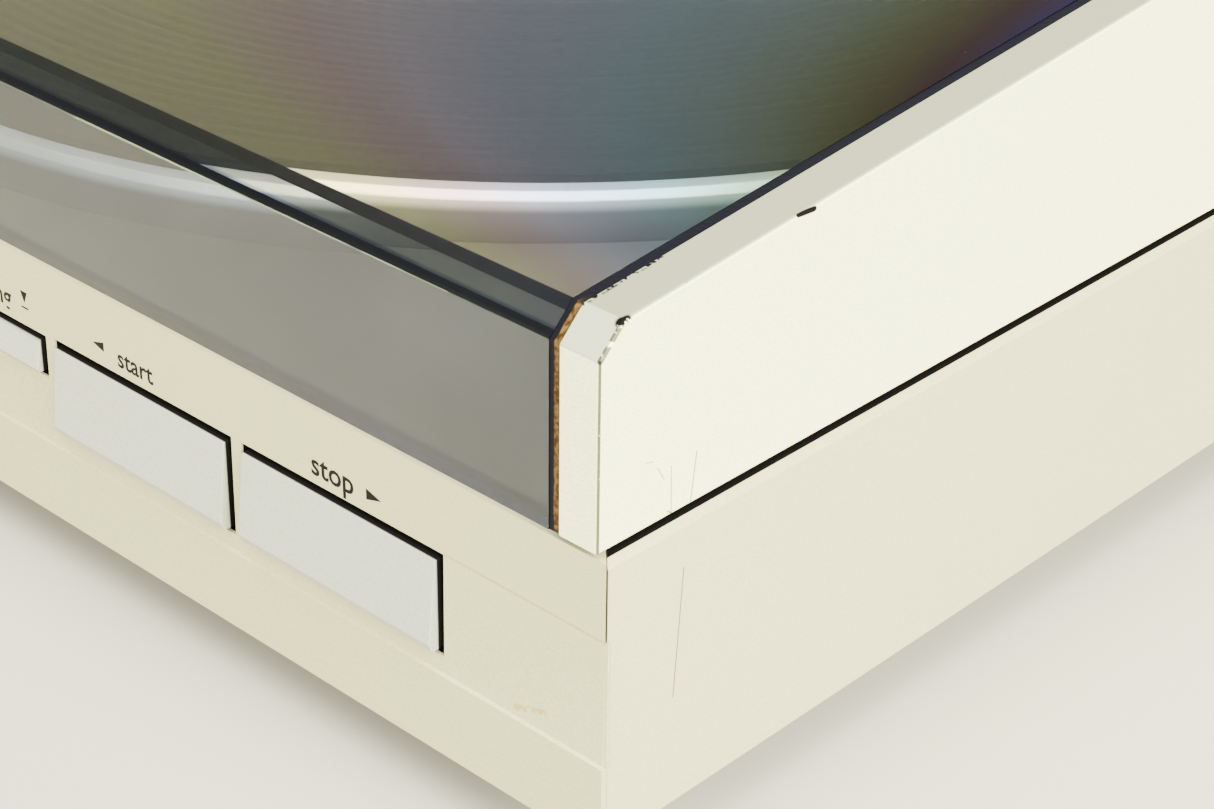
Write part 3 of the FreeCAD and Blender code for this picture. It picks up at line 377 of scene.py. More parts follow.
def champagne(name, colour, marks=lambda recipe: []):
    """Satin champagne lacquer; marks gives pairs of a mask and the colour it shows."""
    recipe = Recipe(name)
    flake = recipe.noise(FLAKE, 3.0, roughness=0.7)
    cloud = recipe.noise(CLOUD, 2.0)
    warm = tuple(part * share for part, share in zip(colour, AGED_WARMTH))
    tone = recipe.mix(cloud.step(0.35, 0.7), colour, warm)
    tone = recipe.dimmed(tone, 1.0 + (flake - 0.5) * FLAKE_SWING)
    # Dark marks, chips and painted shade alike, lose the lacquer's gloss.
    bare_and_shade = 0.0
    for mask, shown in marks(recipe):
        tone = recipe.mix(mask, tone, shown)
        if max(shown) < NO_GLOSS:
            bare_and_shade = mask.most(bare_and_shade)
    peel = recipe.noise(ORANGE_PEEL, 2.0)
    return recipe.finish(base_color=tone,
                         roughness=SATIN + flake * FLAKE_ROUGHNESS + bare_and_shade * BARE_AND_SHADE_ROUGHNESS,
                         metallic=FLAKE_METAL + bare_and_shade * (1 - FLAKE_METAL), specular_ior_level=0.5,
                         normal=recipe.bump(flake * 0.5 + peel, PEEL_DEPTH))


# Along the cheek's flat side, places are y behind the corner and z above it, in millimetres. A chip
# ends with its width, a scratch with its depth from 0 to 1.
CHEEK_SIDE_X = -1.2
CHEEK_CHIPS = [((36.6, 36.1), (39.8, 35.9), 0.6), ((15.1, 34.4), (15.4, 34.3), 0.5)]
CHEEK_SCRATCHES = [((10.6, 9.2), (11.9, 7.0), 0.5), ((13.2, 8.4), (13.4, 1.4), 0.6),
                   ((18.1, 8.6), (17.1, 0.8), 0.75), ((8.2, 10.9), (9.6, 10.6), 0.4),
                   ((12.7, 1.8), (14.0, 0.9), 0.8)]
# A worn edge goes between two places in the corner's frame. Its width, the softness of its sides and
# the noise at which the wear sets in and is complete follow, then how dark it gets.
CHEEK_EDGES = [((-1.37, -0.22, 1.0), (-1.37, -0.22, 28.8), 0.26, 0.14, (0.24, 0.34), 0.85),
               ((-1.37, -0.22, 28.8), (-1.37, 3.88, 32.9), 0.6, 0.14, (0.36, 0.46), 0.85),
               ((-8.1, 4.0, 33.0), (-8.1, 17.5, 34.4), 0.7, 0.5, (0.47, 0.56), 1.0),
               ((-1.7, 3.4, 32.8), (-1.3, 4.6, 33.2), 0.8, 0.5, (0.40, 0.46), 1.0)]


def at_side(y, z):
    """A place on the right cheek's flat side: y behind the corner, z above it."""
    return from_corner(CHEEK_SIDE_X, y, z)


def cheek_marks(recipe):
    """What years of hands and sleeves did to the right cheek, and painted shade on its top, chamfer and
    underside.
    """
    ragged = recipe.noise(0.8 * MM, 3.0)
    marks = [(recipe.line(at_side(*a), at_side(*b), wide * MM, 0.2 * MM), CHIP_DARK)
             for a, b, wide in CHEEK_CHIPS]
    marks += [(recipe.line(at_side(*a), at_side(*b), 0.08 * MM, 0.14 * MM) * deep, SCRATCH_AND_CREASE_SHADE_GREY)
              for a, b, deep in CHEEK_SCRATCHES]
    for start, end, wide, soft, wear, dark in CHEEK_EDGES:
        edge = recipe.line(from_corner(*start), from_corner(*end), wide * MM, soft * MM)
        marks.append((edge * ragged.step(*wear) * dark, CHIP_DARK))
    back, up = [recipe.axis(recipe.shifted(tuple(CORNER)), name) for name in "YZ"]
    # Painted shade: the cheek's top strip is made darker than its sides.
    on_top = (up - back * LID_SLOPE).step(32.30 * MM, 32.62 * MM)
    marks.insert(0, (on_top * 0.85, TOP_STRIP_SHADE))
    # Painted shade: the chamfer is made a little darker than the sides.
    on_chamfer = (up - back).step(28.95 * MM, 29.15 * MM)
    marks.insert(1, (on_chamfer, CHAMFER_SHADE))
    # Painted shade in the gap under the lid: the cheek's underside is near-black unpainted plastic.
    underside = recipe.axis(recipe.place(), "Z").step(LID_FOOT + 0.10 * MM, LID_FOOT + 0.05 * MM)
    return marks + [(underside, BARE_PLASTIC_IN_SHADE)]


def case_marks(recipe):
    """A long thin scratch down the right wall, and painted shade under the lid and in the seam."""
    across, back, up = [recipe.axis(recipe.place(), name) for name in "XYZ"]
    within = abs(across).step(RIGHT_X - 1.0 * MM, RIGHT_X - 1.1 * MM)
    # Painted shade: near-black unpainted plastic in the gap under the lid and in the seam.
    under_lid = up.step(TOP_Z - 0.2 * MM, TOP_Z - 0.1 * MM) * within
    seam = back.step(FACE_Y + 0.42 * MM, FACE_Y + 0.34 * MM)
    long_scratch = recipe.line(from_corner(0, 14.9, -7.3), from_corner(0, 13.5, -27.5),
                               0.09 * MM, 0.13 * MM)
    return [(long_scratch * 0.7, SCRATCH_AND_CREASE_SHADE_GREY), (under_lid, BARE_PLASTIC_IN_SHADE), (seam * 0.8, BARE_PLASTIC_IN_SHADE)]


def panel_marks(recipe):
    """A dab of old glue, and painted shade along the crease and inside the key slots."""
    # Painted shade: the key slots' insides are near-black unpainted plastic.
    inside = recipe.axis(recipe.place(), "Y").step(FACE_Y + 0.30 * MM, FACE_Y + 0.45 * MM)
    inside = inside * recipe.axis(recipe.place(), "Z").step(TOP_Z - 0.6 * MM, TOP_Z - 0.9 * MM)
    glue = recipe.line(from_corner(-16.4, 0, -30.3), from_corner(-10.9, 0, -28.5),
                       0.5 * MM, 0.5 * MM)
    smear = recipe.noise(1.2 * MM, 2.0).step(0.40, 0.55)
    # Painted shade along the crease, a faint grey line.
    crease = recipe.line(from_corner(-30.0, 0, -12.1), from_corner(0, 0, -12.1),
                         0.12 * MM, 0.25 * MM)
    return [(glue * smear, OLD_GLUE), (crease * 0.22, SCRATCH_AND_CREASE_SHADE_GREY), (inside, BARE_PLASTIC_IN_SHADE)]


def key_marks(recipe):
    """Paint reaches round the key's edges and stops inside the slot, where near-black paints the shade.
    """
    behind = recipe.axis(recipe.place(), "Y").step(FACE_Y - 0.65 * MM, FACE_Y - 0.3 * MM)
    return [(behind, BARE_PLASTIC_IN_SHADE)]


case_paint = champagne("case_champagne", CHAMPAGNE, case_marks)
panel_paint = champagne("panel_champagne", CHAMPAGNE, panel_marks)
cheek_paint = champagne("cheek_champagne", PALE_CHAMPAGNE, cheek_marks)
key_paint = champagne("key_silver_paint", SILVER, key_marks)
print("paints", [m.name for m in (case_paint, panel_paint, cheek_paint, key_paint)])

# %% [markdown]
# ## Smoked acrylic
# The lid's window is bent from one smoked acrylic sheet. Bending locked stress into it, and stressed
# acrylic splits polarised light into bands: blue and olive near the cheeks, teal, then violet, then
# tan away from them. The bands are a ramp over the distance from the nearer cheek, which the front
# bend pushes sideways, and the sheet is tinted with them. A very small share of the surface stays a
# milky skin, as on handled acrylic. Lamps reach through it by way of a plain transparent shader,
# which only their rays meet. The front wall is a grey smoke tint with soft paler blotches of painted
# reflection, and the bend between is tinted a dark blue-grey, a painted reflection of the dim
# surround overhead.

# %% Smoked acrylic
BANDS = [(0.0, (0.04, 0.008, 0.20)), (0.02, (0.07, 0.04, 0.12)), (0.045, (0.085, 0.05, 0.047)),
         (0.08, (0.095, 0.095, 0.049)), (0.11, (0.108, 0.115, 0.068)), (0.16, (0.12, 0.14, 0.108)),
         (0.22, (0.125, 0.155, 0.148)), (0.33, (0.13, 0.166, 0.179)), (0.46, (0.148, 0.16, 0.187)),
         (0.60, (0.18, 0.172, 0.19)), (0.72, (0.192, 0.16, 0.154)), (0.84, (0.21, 0.178, 0.142)),
         (0.94, (0.217, 0.194, 0.124)), (1.0, (0.196, 0.207, 0.132))]
BAND_WIDTH, BEND_FADE, EDGE_OF_WINDOW, HALF_WIDTH = 172.0, 24.0, 10.0, 175.0
REFLECTED, TINT_GAIN, PALEST_TINT, DEEPEST_TINT = 0.05, 6.5, 0.95, 0.02
MILKY_SHARE, REFRACTION = 0.003, 1.49
# The front wall's two greys are its smoke tint and the paler painted reflection on it; the bend's tint
# is a painted dark reflection.
FRONT_SMOKE, FRONT_SMOKE_WITH_REFLECTION, BEND_DARK_REFLECTION = (0.40, 0.415, 0.42), (0.54, 0.555, 0.55), (0.12, 0.15, 0.23)
DUST, LAMP_TINT_INSIDE = (0.8, 0.8, 0.78), (0.8, 0.8, 0.78, 1)


def sheet_tint(seen):
    """The tint through which a dark mat under the sheet looks about this bright."""
    return tuple(min(PALEST_TINT, max(DEEPEST_TINT, (part - REFLECTED) * TINT_GAIN)) for part in seen)


def smoked_acrylic():
    recipe = Recipe("smoked_acrylic")
    measured = recipe.stretched(recipe.shifted(tuple(CORNER)), (1 / MM, 1 / MM, 1 / MM))
    across, back = [recipe.axis(measured, name) for name in "XY"]
    from_cheek = (abs(abs(across + HALF_WIDTH) - HALF_WIDTH) - EDGE_OF_WINDOW) / BAND_WIDTH
    bend = (back * (-1 / BEND_FADE)).power_of_e()
    wander = (recipe.noise(70 * MM, 1.0) - 0.5) * 0.07
    bands = recipe.ramp(from_cheek + bend + wander * from_cheek.step(0.0, 0.1),
                        [(at, sheet_tint(shown)) for at, shown in BANDS])
    # Painted reflection: paler blotches on the front wall's grey smoke tint.
    smoke_and_reflection = recipe.mix(recipe.noise(26 * MM, 3.0).step(0.3, 0.7), FRONT_SMOKE, FRONT_SMOKE_WITH_REFLECTION)
    tone = recipe.mix(back.step(3.4, 3.9), smoke_and_reflection, bands)
    # Painted reflection: the bend is tinted dark where it mirrors the dim surround.
    bent = back.step(-0.35, 0.1) * back.step(4.1, 3.7)
    tone = recipe.mix(bent, tone, BEND_DARK_REFLECTION)
    dust = recipe.node("ShaderNodeTexVoronoi", None, {"Vector": recipe.place(), "Scale": 420.0},
                       out="Distance").step(0.09, 0.04) * recipe.noise(3 * MM).step(0.60, 0.66)
    tone = recipe.mix(dust * 0.5, tone, DUST)
    hair = recipe.noise(1.0, 2.0, at=recipe.stretched(recipe.place(), (1500.0, 30.0, 30.0)))
    rub = hair.step(0.66, 0.74) * back.step(4.0, 8.0)
    surface = recipe.node("ShaderNodeBsdfPrincipled", None, {
        "Base Color": tone, "Roughness": rub * 0.04 + dust * 0.2, "IOR": REFRACTION,
        "Transmission Weight": 1 - MILKY_SHARE, "Specular IOR Level": 0.2,
        "Normal": recipe.bump(recipe.noise(60 * MM, 1.0), 0.05 * MM)})
    let_through = recipe.node("ShaderNodeBsdfTransparent", None, {"Color": LAMP_TINT_INSIDE})
    lamp_ray = recipe.node("ShaderNodeLightPath", out="Is Shadow Ray")
    return recipe.output(recipe.node("ShaderNodeMixShader", None, (lamp_ray, surface, let_through)))


acrylic = smoked_acrylic()
print("acrylic bands", len(BANDS))

# %% [markdown]
# ## The bond line
# Each cheek is glued to the window. Aged glue shows as a thin amber edge with a dark line beside it,
# and both run round the whole outline at one distance from the middle, so the colour follows the
# distance across the player; above the top of the bend the whole bond takes the dark colour.

# %% Bond line
BOND_DARK, GLUE_DARK, GLUE_PALE = (0.004, 0.004, 0.006), (0.026, 0.013, 0.003), (0.10, 0.058, 0.016)


def aged_bond():
    recipe = Recipe("aged_bond")
    measured = recipe.stretched(recipe.shifted(tuple(CORNER)), (1 / MM, 1 / MM, 1 / MM))
    depth = abs(abs(recipe.axis(measured, "X") + HALF_WIDTH) - HALF_WIDTH)
    glue = recipe.mix(recipe.noise(0.7 * MM, 4.0).step(0.35, 0.65), GLUE_DARK, GLUE_PALE)
    dark_part = (depth + (recipe.noise(2.5 * MM) - 0.5) * 0.4).step(8.95, 9.2)
    dark_part = dark_part.most(recipe.axis(measured, "Z").step(32.6, 33.1))
    return recipe.finish(base_color=recipe.mix(dark_part, glue, BOND_DARK), roughness=0.35,
                         specular_ior_level=0.05,
                         normal=recipe.bump(recipe.noise(0.7 * MM), 0.05 * MM))


bond = aged_bond()
print("bond", bond.name)

# %% [markdown]
# ## The other finishes
# Most of what is left is one family: a base colour, a grain that moves brightness and roughness at
# its own scale, a little dirt in wide patches, and a bump of the grain. One function makes them all.

# %% Simple finishes
PATCH_DARK, GRAIN_ROUGHNESS = 0.86, 0.18


def grained(name, colour, roughness, metal=0.0, grain=0.5, swing=0.2, depth=0.01, patch=25.0,
            stretch=None, shine=0.5):
    """A finish whose grain is this many millimetres across and depth millimetres deep."""
    recipe = Recipe(name)
    at = recipe.stretched(recipe.place(), stretch) if stretch else None
    fine = recipe.noise(grain * MM, 3.0, at=at, roughness=0.65)
    wide = recipe.noise(patch * MM, 2.0)
    dirty = tuple(part * PATCH_DARK for part in colour)
    tone = recipe.dimmed(recipe.mix(wide.step(0.3, 0.8), colour, dirty), 1 + (fine - 0.5) * swing)
    return recipe.finish(base_color=tone, metallic=metal,
                         roughness=roughness + (fine - 0.5) * GRAIN_ROUGHNESS,
                         specular_ior_level=shine, normal=recipe.bump(fine, depth * MM))


def turned_metal(name, colour, roughness, pitch=0.35):
    """Metal turned about the platter's axis in fine rings, with painted shade on its side below the
    rim.
    """
    recipe = Recipe(name)
    centred = recipe.shifted(tuple(PLATTER_AXIS))
    out = recipe.length(recipe.stretched(centred, (1, 1, 0)))
    ring = (out * (2 * math.pi / (pitch * MM))).sine()
    fine = recipe.noise(0.35 * MM, 2.0)
    up = recipe.axis(recipe.place(), "Z")
    # Painted shade: the platter's side below its rim is darkened.
    lit = 1 - up.step(platter_high.z - 1.5 * MM, platter_high.z - 3.5 * MM) * 0.82
    tone = recipe.dimmed(colour, (0.97 + ring * 0.03 + (fine - 0.5) * 0.08) * lit)
    return recipe.finish(base_color=tone, metallic=0.7, roughness=roughness + fine * 0.08,
                         normal=recipe.bump(ring * 0.5 + fine * 0.5, 0.004 * MM))


finish = {
    "case_paint": case_paint, "cheek_paint": cheek_paint, "key_silver": key_paint,
    "smoke_acrylic": acrylic, "bond_amber": bond,
    "deck_grey": grained("deck_satin_grey", (0.050, 0.050, 0.043), 0.55, grain=0.4, swing=0.1,
                         depth=0.0015, shine=0.25),
    "black_plastic": grained("grained_black_plastic", (0.030, 0.030, 0.032), 0.5, grain=0.5, swing=0.4,
                             depth=0.03),
    "zinc_steel": grained("zinc_plate", (0.60, 0.60, 0.57), 0.34, 0.9, grain=1.4, swing=0.22,
                          patch=9.0),
    "polished_steel": grained("polished_steel", (0.70, 0.70, 0.69), 0.16, 1.0, grain=0.6, swing=0.06,
                              depth=0.002),
    "foot_rubber": grained("foot_rubber", (0.045, 0.044, 0.042), 0.75, grain=0.7, swing=0.5,
                           depth=0.04),
    "belt_rubber": grained("belt_rubber", (0.030, 0.029, 0.028), 0.65, grain=0.4, swing=0.3),
    "mat_rubber": grained("mat_rubber", (0.006, 0.006, 0.006), 0.75, grain=0.35, swing=0.5, depth=0.012,
                          shine=0.12),
    "brass_bush": grained("turned_brass", (0.66, 0.47, 0.22), 0.3, 1.0, grain=0.3, stretch=(1, 1, 6)),
    "core_steel": grained("varnished_core", (0.13, 0.12, 0.11), 0.4, 0.5, grain=0.5, depth=0.03,
                          stretch=(1, 1, 0.05)),
    "coil_copper": grained("wound_copper", (0.50, 0.23, 0.09), 0.35, 0.5, grain=0.5, depth=0.05,
                           stretch=(1, 0.1, 1)),
    "board_green": grained("solder_mask", (0.07, 0.16, 0.06), 0.3, grain=2.4, swing=0.3, patch=12.0),
    "platter_aluminium": turned_metal("turned_aluminium", (0.86, 0.85, 0.83), 0.34),
    "arm_aluminium": grained("satin_anodised", (0.72, 0.72, 0.70), 0.32, 1.0, grain=0.25, swing=0.08,
                             stretch=(1, 0.12, 1)),
}
print("finishes", len(finish))

# %% [markdown]
# ## Eased edges
# Moulded and cast parts have no knife edges. A copy of a CAD node is merged, its flat faces are
# joined, and a Bevel modifier rounds its hard edges, so that they catch the light as real ones do.
# What nobody sees without opening the case keeps its CAD mesh and only gets its finish, and so does
# the clear window: with its edges rounded, its sloping top no longer lets the inside be seen.

# %% Eased copies
HARD_EDGE, FLAT_ENOUGH, SAME_POINT = math.radians(30), math.radians(0.5), 0.002 * MM


def link(name, mesh, *materials):
    """A new object at the origin with these materials."""
    mesh.materials.clear()
    for material in materials:
        mesh.materials.append(material)
    piece = bpy.data.objects.new(name, mesh)
    bpy.context.scene.collection.objects.link(piece)
    return piece


def stand_for(piece, node):
    """The piece rides where the CAD node does and is shown instead of it."""
    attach(piece, body_of[node])
    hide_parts(node)
    return piece


def merged(node):
    """A copy of a CAD node's mesh with its triangles joined into faces."""
    mesh = frame["nodes"][node].data.copy()
    shape = bmesh.new()
    shape.from_mesh(mesh)
    bmesh.ops.remove_doubles(shape, verts=shape.verts, dist=SAME_POINT)
    bmesh.ops.dissolve_limit(shape, angle_limit=FLAT_ENOUGH, verts=shape.verts, edges=shape.edges)
    shape.to_mesh(mesh)
    shape.free()
    mesh.shade_smooth()
    mesh.set_sharp_from_angle(angle=HARD_EDGE)
    return mesh


def eased(node, width, material=None):
    """A copy of a CAD node with edges rounded by a width in millimetres."""
    piece = link(node + "_eased", merged(node), material or finish[slot_of[node]])
    bevel = piece.modifiers.new("eased", "BEVEL")
    bevel.width, bevel.segments = width * MM, 2
    bevel.limit_method, bevel.angle_limit = "ANGLE", HARD_EDGE
    bevel.harden_normals = True
    return stand_for(piece, node)


EDGES = {
    "case_shell": 0.15, "bottom_cover": 0.4, "deck_plate": 0.3, "arm_hood": 0.4, "lid_rear_rail": 0.3,
    "lid_cheek_left": 0.16, "lid_cheek_right": 0.16, "feet": 0.8, "foot_pads": 0.4, "platter": 0.3,
    "arm_carriage": 0.3, "arm_tube": 0.2, "headshell": 0.5, "cartridge": 0.4, "arm_rest": 0.4,
    "hinge_base_left": 0.4, "hinge_base_right": 0.4, "hinge_leaf_left": 0.4, "hinge_leaf_right": 0.4,
    "connector_plate": 0.3, "phono_jacks": 0.2, "ground_post": 0.2, "mains_inlet": 0.4,
    "lid_bumpers": 0.3, "key_stop": 0.12, "key_start": 0.12, "key_cueing": 0.12, "key_speed": 0.12,
    "key_power": 0.12, "platter_spindle": 0.15,
}
for node, width in EDGES.items():
    eased(node, width)
eased("front_panel", 0.12, material=panel_paint)
print("eased", len(EDGES) + 1)

# %% Finishes on what keeps its CAD mesh
replaced = {*EDGES, "front_panel", "platter_mat"}
kept = [node for node in frame["nodes"] if node not in replaced]
for node in kept:
    for holder in frame["nodes"][node].material_slots:
        holder.material = finish[slot_of[node]]
print("kept", len(kept), kept)

# %% [markdown]
# ## Lettering
# The control words are printed in dark grey above the keys, with a small arrow beside two of them.
# Text is a curve in Blender; here it becomes a mesh, is fitted to the width it has on the panel, and
# is laid on the panel's face a few hundredths of a millimetre thick, as a screen print is.

# %% Printed words
INK = grained("printing_ink", (0.012, 0.012, 0.014), 0.6, metal=1.0, grain=0.2, swing=0.3, depth=0.004)
INK_THICK, INK_BURIED, BASELINE, BOLDER, CURVE_STEPS = 0.03, 0.005, -10.7, 0.018, 3
WORDS = (("stop", -57.1, 8.9), ("start", -101.2, 8.5), ("cueing", -140.6, 12.6),
         ("speed", -169.9, 10.9), ("power", -304.6, 10.9))
ARROWS = {"right": [(-45.6, -10.1), (-42.5, -9.2), (-45.6, -8.3)],
          "left": [(-107.3, -8.8), (-104.5, -9.6), (-104.5, -8.0)],
          "down": [(-125.4, -6.6), (-124.5, -8.6), (-123.6, -6.6)],
          "bar": [(-125.4, -9.6), (-123.6, -9.6), (-123.6, -9.3), (-125.4, -9.3)]}


def flat_shape(name, outline):
    """A thin printed shape from points right of and above the corner, in millimetres."""
    shape = bmesh.new()
    face = shape.faces.new([shape.verts.new(from_corner(x, 0.01, z)) for x, z in outline])
    pushed = bmesh.ops.extrude_face_region(shape, geom=[face])["geom"]
    moved = [part for part in pushed if isinstance(part, bmesh.types.BMVert)]
    bmesh.ops.translate(shape, verts=moved, vec=(0, -INK_THICK * MM, 0))
    bmesh.ops.recalc_face_normals(shape, faces=shape.faces)
    mesh = bpy.data.meshes.new(name)
    shape.to_mesh(mesh)
    shape.free()
    return printed(name, mesh)


def printed(name, mesh):
    piece = link(name, mesh, INK)
    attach(piece, "cabinet")
    return piece


def word(text, left, wide):
    """A word on the panel, its left end and its width in millimetres from the corner."""
    curve = bpy.data.curves.new("word", "FONT")
    curve.body, curve.extrude = text, 0.5
    curve.resolution_u, curve.offset = CURVE_STEPS, BOLDER
    draft = bpy.data.objects.new("word", curve)
    bpy.context.scene.collection.objects.link(draft)
    depsgraph = bpy.context.evaluated_depsgraph_get()
    mesh = bpy.data.meshes.new_from_object(draft.evaluated_get(depsgraph))
    bpy.data.objects.remove(draft)
    lowest, highest = [pick(v.co.x for v in mesh.vertices) for pick in (min, max)]
    scale = wide / (highest - lowest)
    for vertex in mesh.vertices:
        x, up, thick = vertex.co
        vertex.co = from_corner(left + (x - lowest) * scale, INK_BURIED - INK_THICK * thick,
                                BASELINE + up * scale)
    shape = bmesh.new()
    shape.from_mesh(mesh)
    bmesh.ops.remove_doubles(shape, verts=shape.verts, dist=0.001 * MM)
    bmesh.ops.recalc_face_normals(shape, faces=shape.faces)
    shape.to_mesh(mesh)
    shape.free()
    return printed("print_" + text, mesh)


for text, left, wide in WORDS:
    word(text, left, wide)
for points_to, outline in ARROWS.items():
    flat_shape("print_arrow_" + points_to, outline)
print("words", len(WORDS), "arrows", len(ARROWS))

# %% [markdown]
# ## Grown by rule
# What repeats is grown by Geometry Nodes. The same way of writing nodes works for them, so `Growth`
# is a `Recipe` whose tree makes a mesh. Its sizes are named inputs, set on the modifier by their
# identifiers, and the result is kept as a plain mesh.

# %% Growth


class Growth(Recipe):
    """A Geometry Nodes tree with named sizes."""

    def __init__(self, name, **kinds):
        self.tree = bpy.data.node_groups.new(name, "GeometryNodeTree")
        sockets = self.tree.interface
        sockets.new_socket("Geometry", in_out="OUTPUT", socket_type="NodeSocketGeometry")
        self.kinds = {label: sockets.new_socket(label, in_out="INPUT", socket_type="NodeSocket" + kind)
                      for label, kind in {**kinds, "Finish": "Material"}.items()}
        self.entry = self.tree.nodes.new("NodeGroupInput")

    def size(self, label):
        return Wire(self, self.entry.outputs[label])

    def vector(self, x=0.0, y=0.0, z=0.0):
        return self.node("ShaderNodeCombineXYZ", None, (x, y, z))

    def end(self, geometry):
        """The last steps of every tree: real meshes, merged, with their finish on."""
        solid = self.node("GeometryNodeRealizeInstances", None, (geometry,))
        dressed = self.node("GeometryNodeSetMaterial", None,
                            {"Geometry": solid, "Material": self.size("Finish")})
        leave = self.tree.nodes.new("NodeGroupOutput")
        self.tree.links.new(dressed.socket, leave.inputs[0])

    def grow(self, name, material, **values):
        """The tree's mesh for these sizes, as a linked object with no modifier."""
        seed = bpy.data.objects.new(name + "_seed", bpy.data.meshes.new(name + "_seed"))
        bpy.context.scene.collection.objects.link(seed)
        modifier = seed.modifiers.new("grown", "NODES")
        modifier.node_group = self.tree
        for label, value in {**values, "Finish": material}.items():
            modifier[self.kinds[label].identifier] = value
        depsgraph = bpy.context.evaluated_depsgraph_get()
        mesh = bpy.data.meshes.new_from_object(seed.evaluated_get(depsgraph), depsgraph=depsgraph)
        bpy.data.objects.remove(seed)
        shape = bmesh.new()
        shape.from_mesh(mesh)
        bmesh.ops.remove_doubles(shape, verts=shape.verts, dist=0.003 * MM)
        bmesh.ops.recalc_face_normals(shape, faces=shape.faces)
        shape.to_mesh(mesh)
        shape.free()
        mesh.name = name
        print(name, "faces", len(mesh.polygons))
        return link(name, mesh, material)


# %% [markdown]
# ## Platter mat
# The rubber mat is a disc with concentric ribs, a plain middle for the record's label and a hole for
# the spindle. A grid is bent round the axis: one way across it is the angle, the other walks the
# mat's profile from the hole, over the ribs, down the rim and back along the underside.

# %% Ribbed mat
mat_tree = Growth("ribbed_mat", Bore="Float", Label="Float", Rim="Float", Foot="Float", Top="Float",
                  Sink="Float", Pitch="Float", Rib="Float", Centre="Vector")
ACROSS, AROUND = 190, 192
grid = mat_tree.node("GeometryNodeMeshGrid", None, {"Size X": 1.0, "Size Y": 1.0, "Vertices X": ACROSS,
                                                   "Vertices Y": AROUND + 1})
flat = mat_tree.node("GeometryNodeInputPosition")
column = (mat_tree.axis(flat, "X") + 0.5) * (ACROSS - 1)
angle = (mat_tree.axis(flat, "Y") + 0.5) * (2 * math.pi)
bore, rim = mat_tree.size("Bore"), mat_tree.size("Rim")
walked = ((column - 1) / (ACROSS - 4)).most(0.0).least(1.0)
back_home = column.above(ACROSS - 1.5)
radius = (bore + (rim - bore) * walked) * (1 - back_home) + bore * back_home
on_top = column.above(0.5) * column.below(ACROSS - 2.5)
outside = radius.above(mat_tree.size("Label"))
inside_rim = radius.below(rim - mat_tree.size("Pitch"))
wave = ((radius * (2 * math.pi) / mat_tree.size("Pitch")).sine() * 0.5 + 0.5) ** 0.6
level = (mat_tree.size("Top") - mat_tree.size("Rib") * (1 - wave) * outside * inside_rim
         - mat_tree.size("Sink") * (1 - outside))
height = level * on_top + mat_tree.size("Foot") * (1 - on_top)
turned_round = mat_tree.vector(radius * (angle + math.pi / 2).sine(), radius * angle.sine(), height)
placed = mat_tree.node("ShaderNodeVectorMath", {"operation": "ADD"},
                       (turned_round, mat_tree.size("Centre")))
mat_tree.end(mat_tree.node("GeometryNodeSetPosition", None, {"Geometry": grid, "Position": placed}))

mat_low, mat_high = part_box("platter_mat")
ribbed = mat_tree.grow("platter_mat_ribbed", finish["mat_rubber"], Bore=4.7 * MM, Label=50 * MM,
                       Rim=(mat_high.x - mat_low.x) / 2, Foot=mat_low.z + 0.01 * MM,
                       Top=mat_high.z, Sink=0.5 * MM, Pitch=3.2 * MM, Rib=0.35 * MM,
                       Centre=tuple(PLATTER_AXIS))
ribbed.data.shade_smooth()
ribbed.data.set_sharp_from_angle(angle=HARD_EDGE)
stand_for(ribbed, "platter_mat")

# %% [markdown]
# ## Rows and rings of small ribs
# Vents are one small rib repeated along a line; the grips round a foot and the knurl of the ground
# post are one repeated round a circle. Each has its own short tree, and its sizes are named inputs.

# %% Ribs in a row
row_tree = Growth("rib_row", Count="Int", First="Vector", Step="Vector", Rib="Vector")
line = row_tree.node("GeometryNodeMeshLine", None, {"Count": row_tree.size("Count"),
                                                    "Start Location": row_tree.size("First"),
                                                    "Offset": row_tree.size("Step")})
rib = row_tree.node("GeometryNodeMeshCube", None, {"Size": row_tree.size("Rib")})
row_tree.end(row_tree.node("GeometryNodeInstanceOnPoints", None, {"Points": line, "Instance": rib}))

# %% Ribs in a ring
ring_tree = Growth("rib_ring", Count="Int", Radius="Float", Centre="Vector", Turn="Vector",
                   Rib="Vector")
circle = ring_tree.node("GeometryNodeMeshCircle", None, {"Vertices": ring_tree.size("Count"),
                                                         "Radius": ring_tree.size("Radius")})
order = ring_tree.node("GeometryNodeInputIndex")
spin = ring_tree.vector(0.0, 0.0, order * (2 * math.pi) / ring_tree.size("Count"))
tooth = ring_tree.node("GeometryNodeMeshCube", None, {"Size": ring_tree.size("Rib")})
teeth = ring_tree.node("GeometryNodeInstanceOnPoints", None, {"Points": circle, "Instance": tooth,
                                                              "Rotation": spin})
ring_tree.end(ring_tree.node("GeometryNodeTransform", None, {
    "Geometry": teeth, "Translation": ring_tree.size("Centre"), "Rotation": ring_tree.size("Turn")}))


FLAT, GRIP_RADIUS, GRIP_LEVEL, KNURL_RADIUS = (0.0, 0.0, 0.0), 14.9 * MM, 5.6 * MM, 4.45 * MM


def cabinet_detail(piece):
    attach(piece, "cabinet")
    return piece


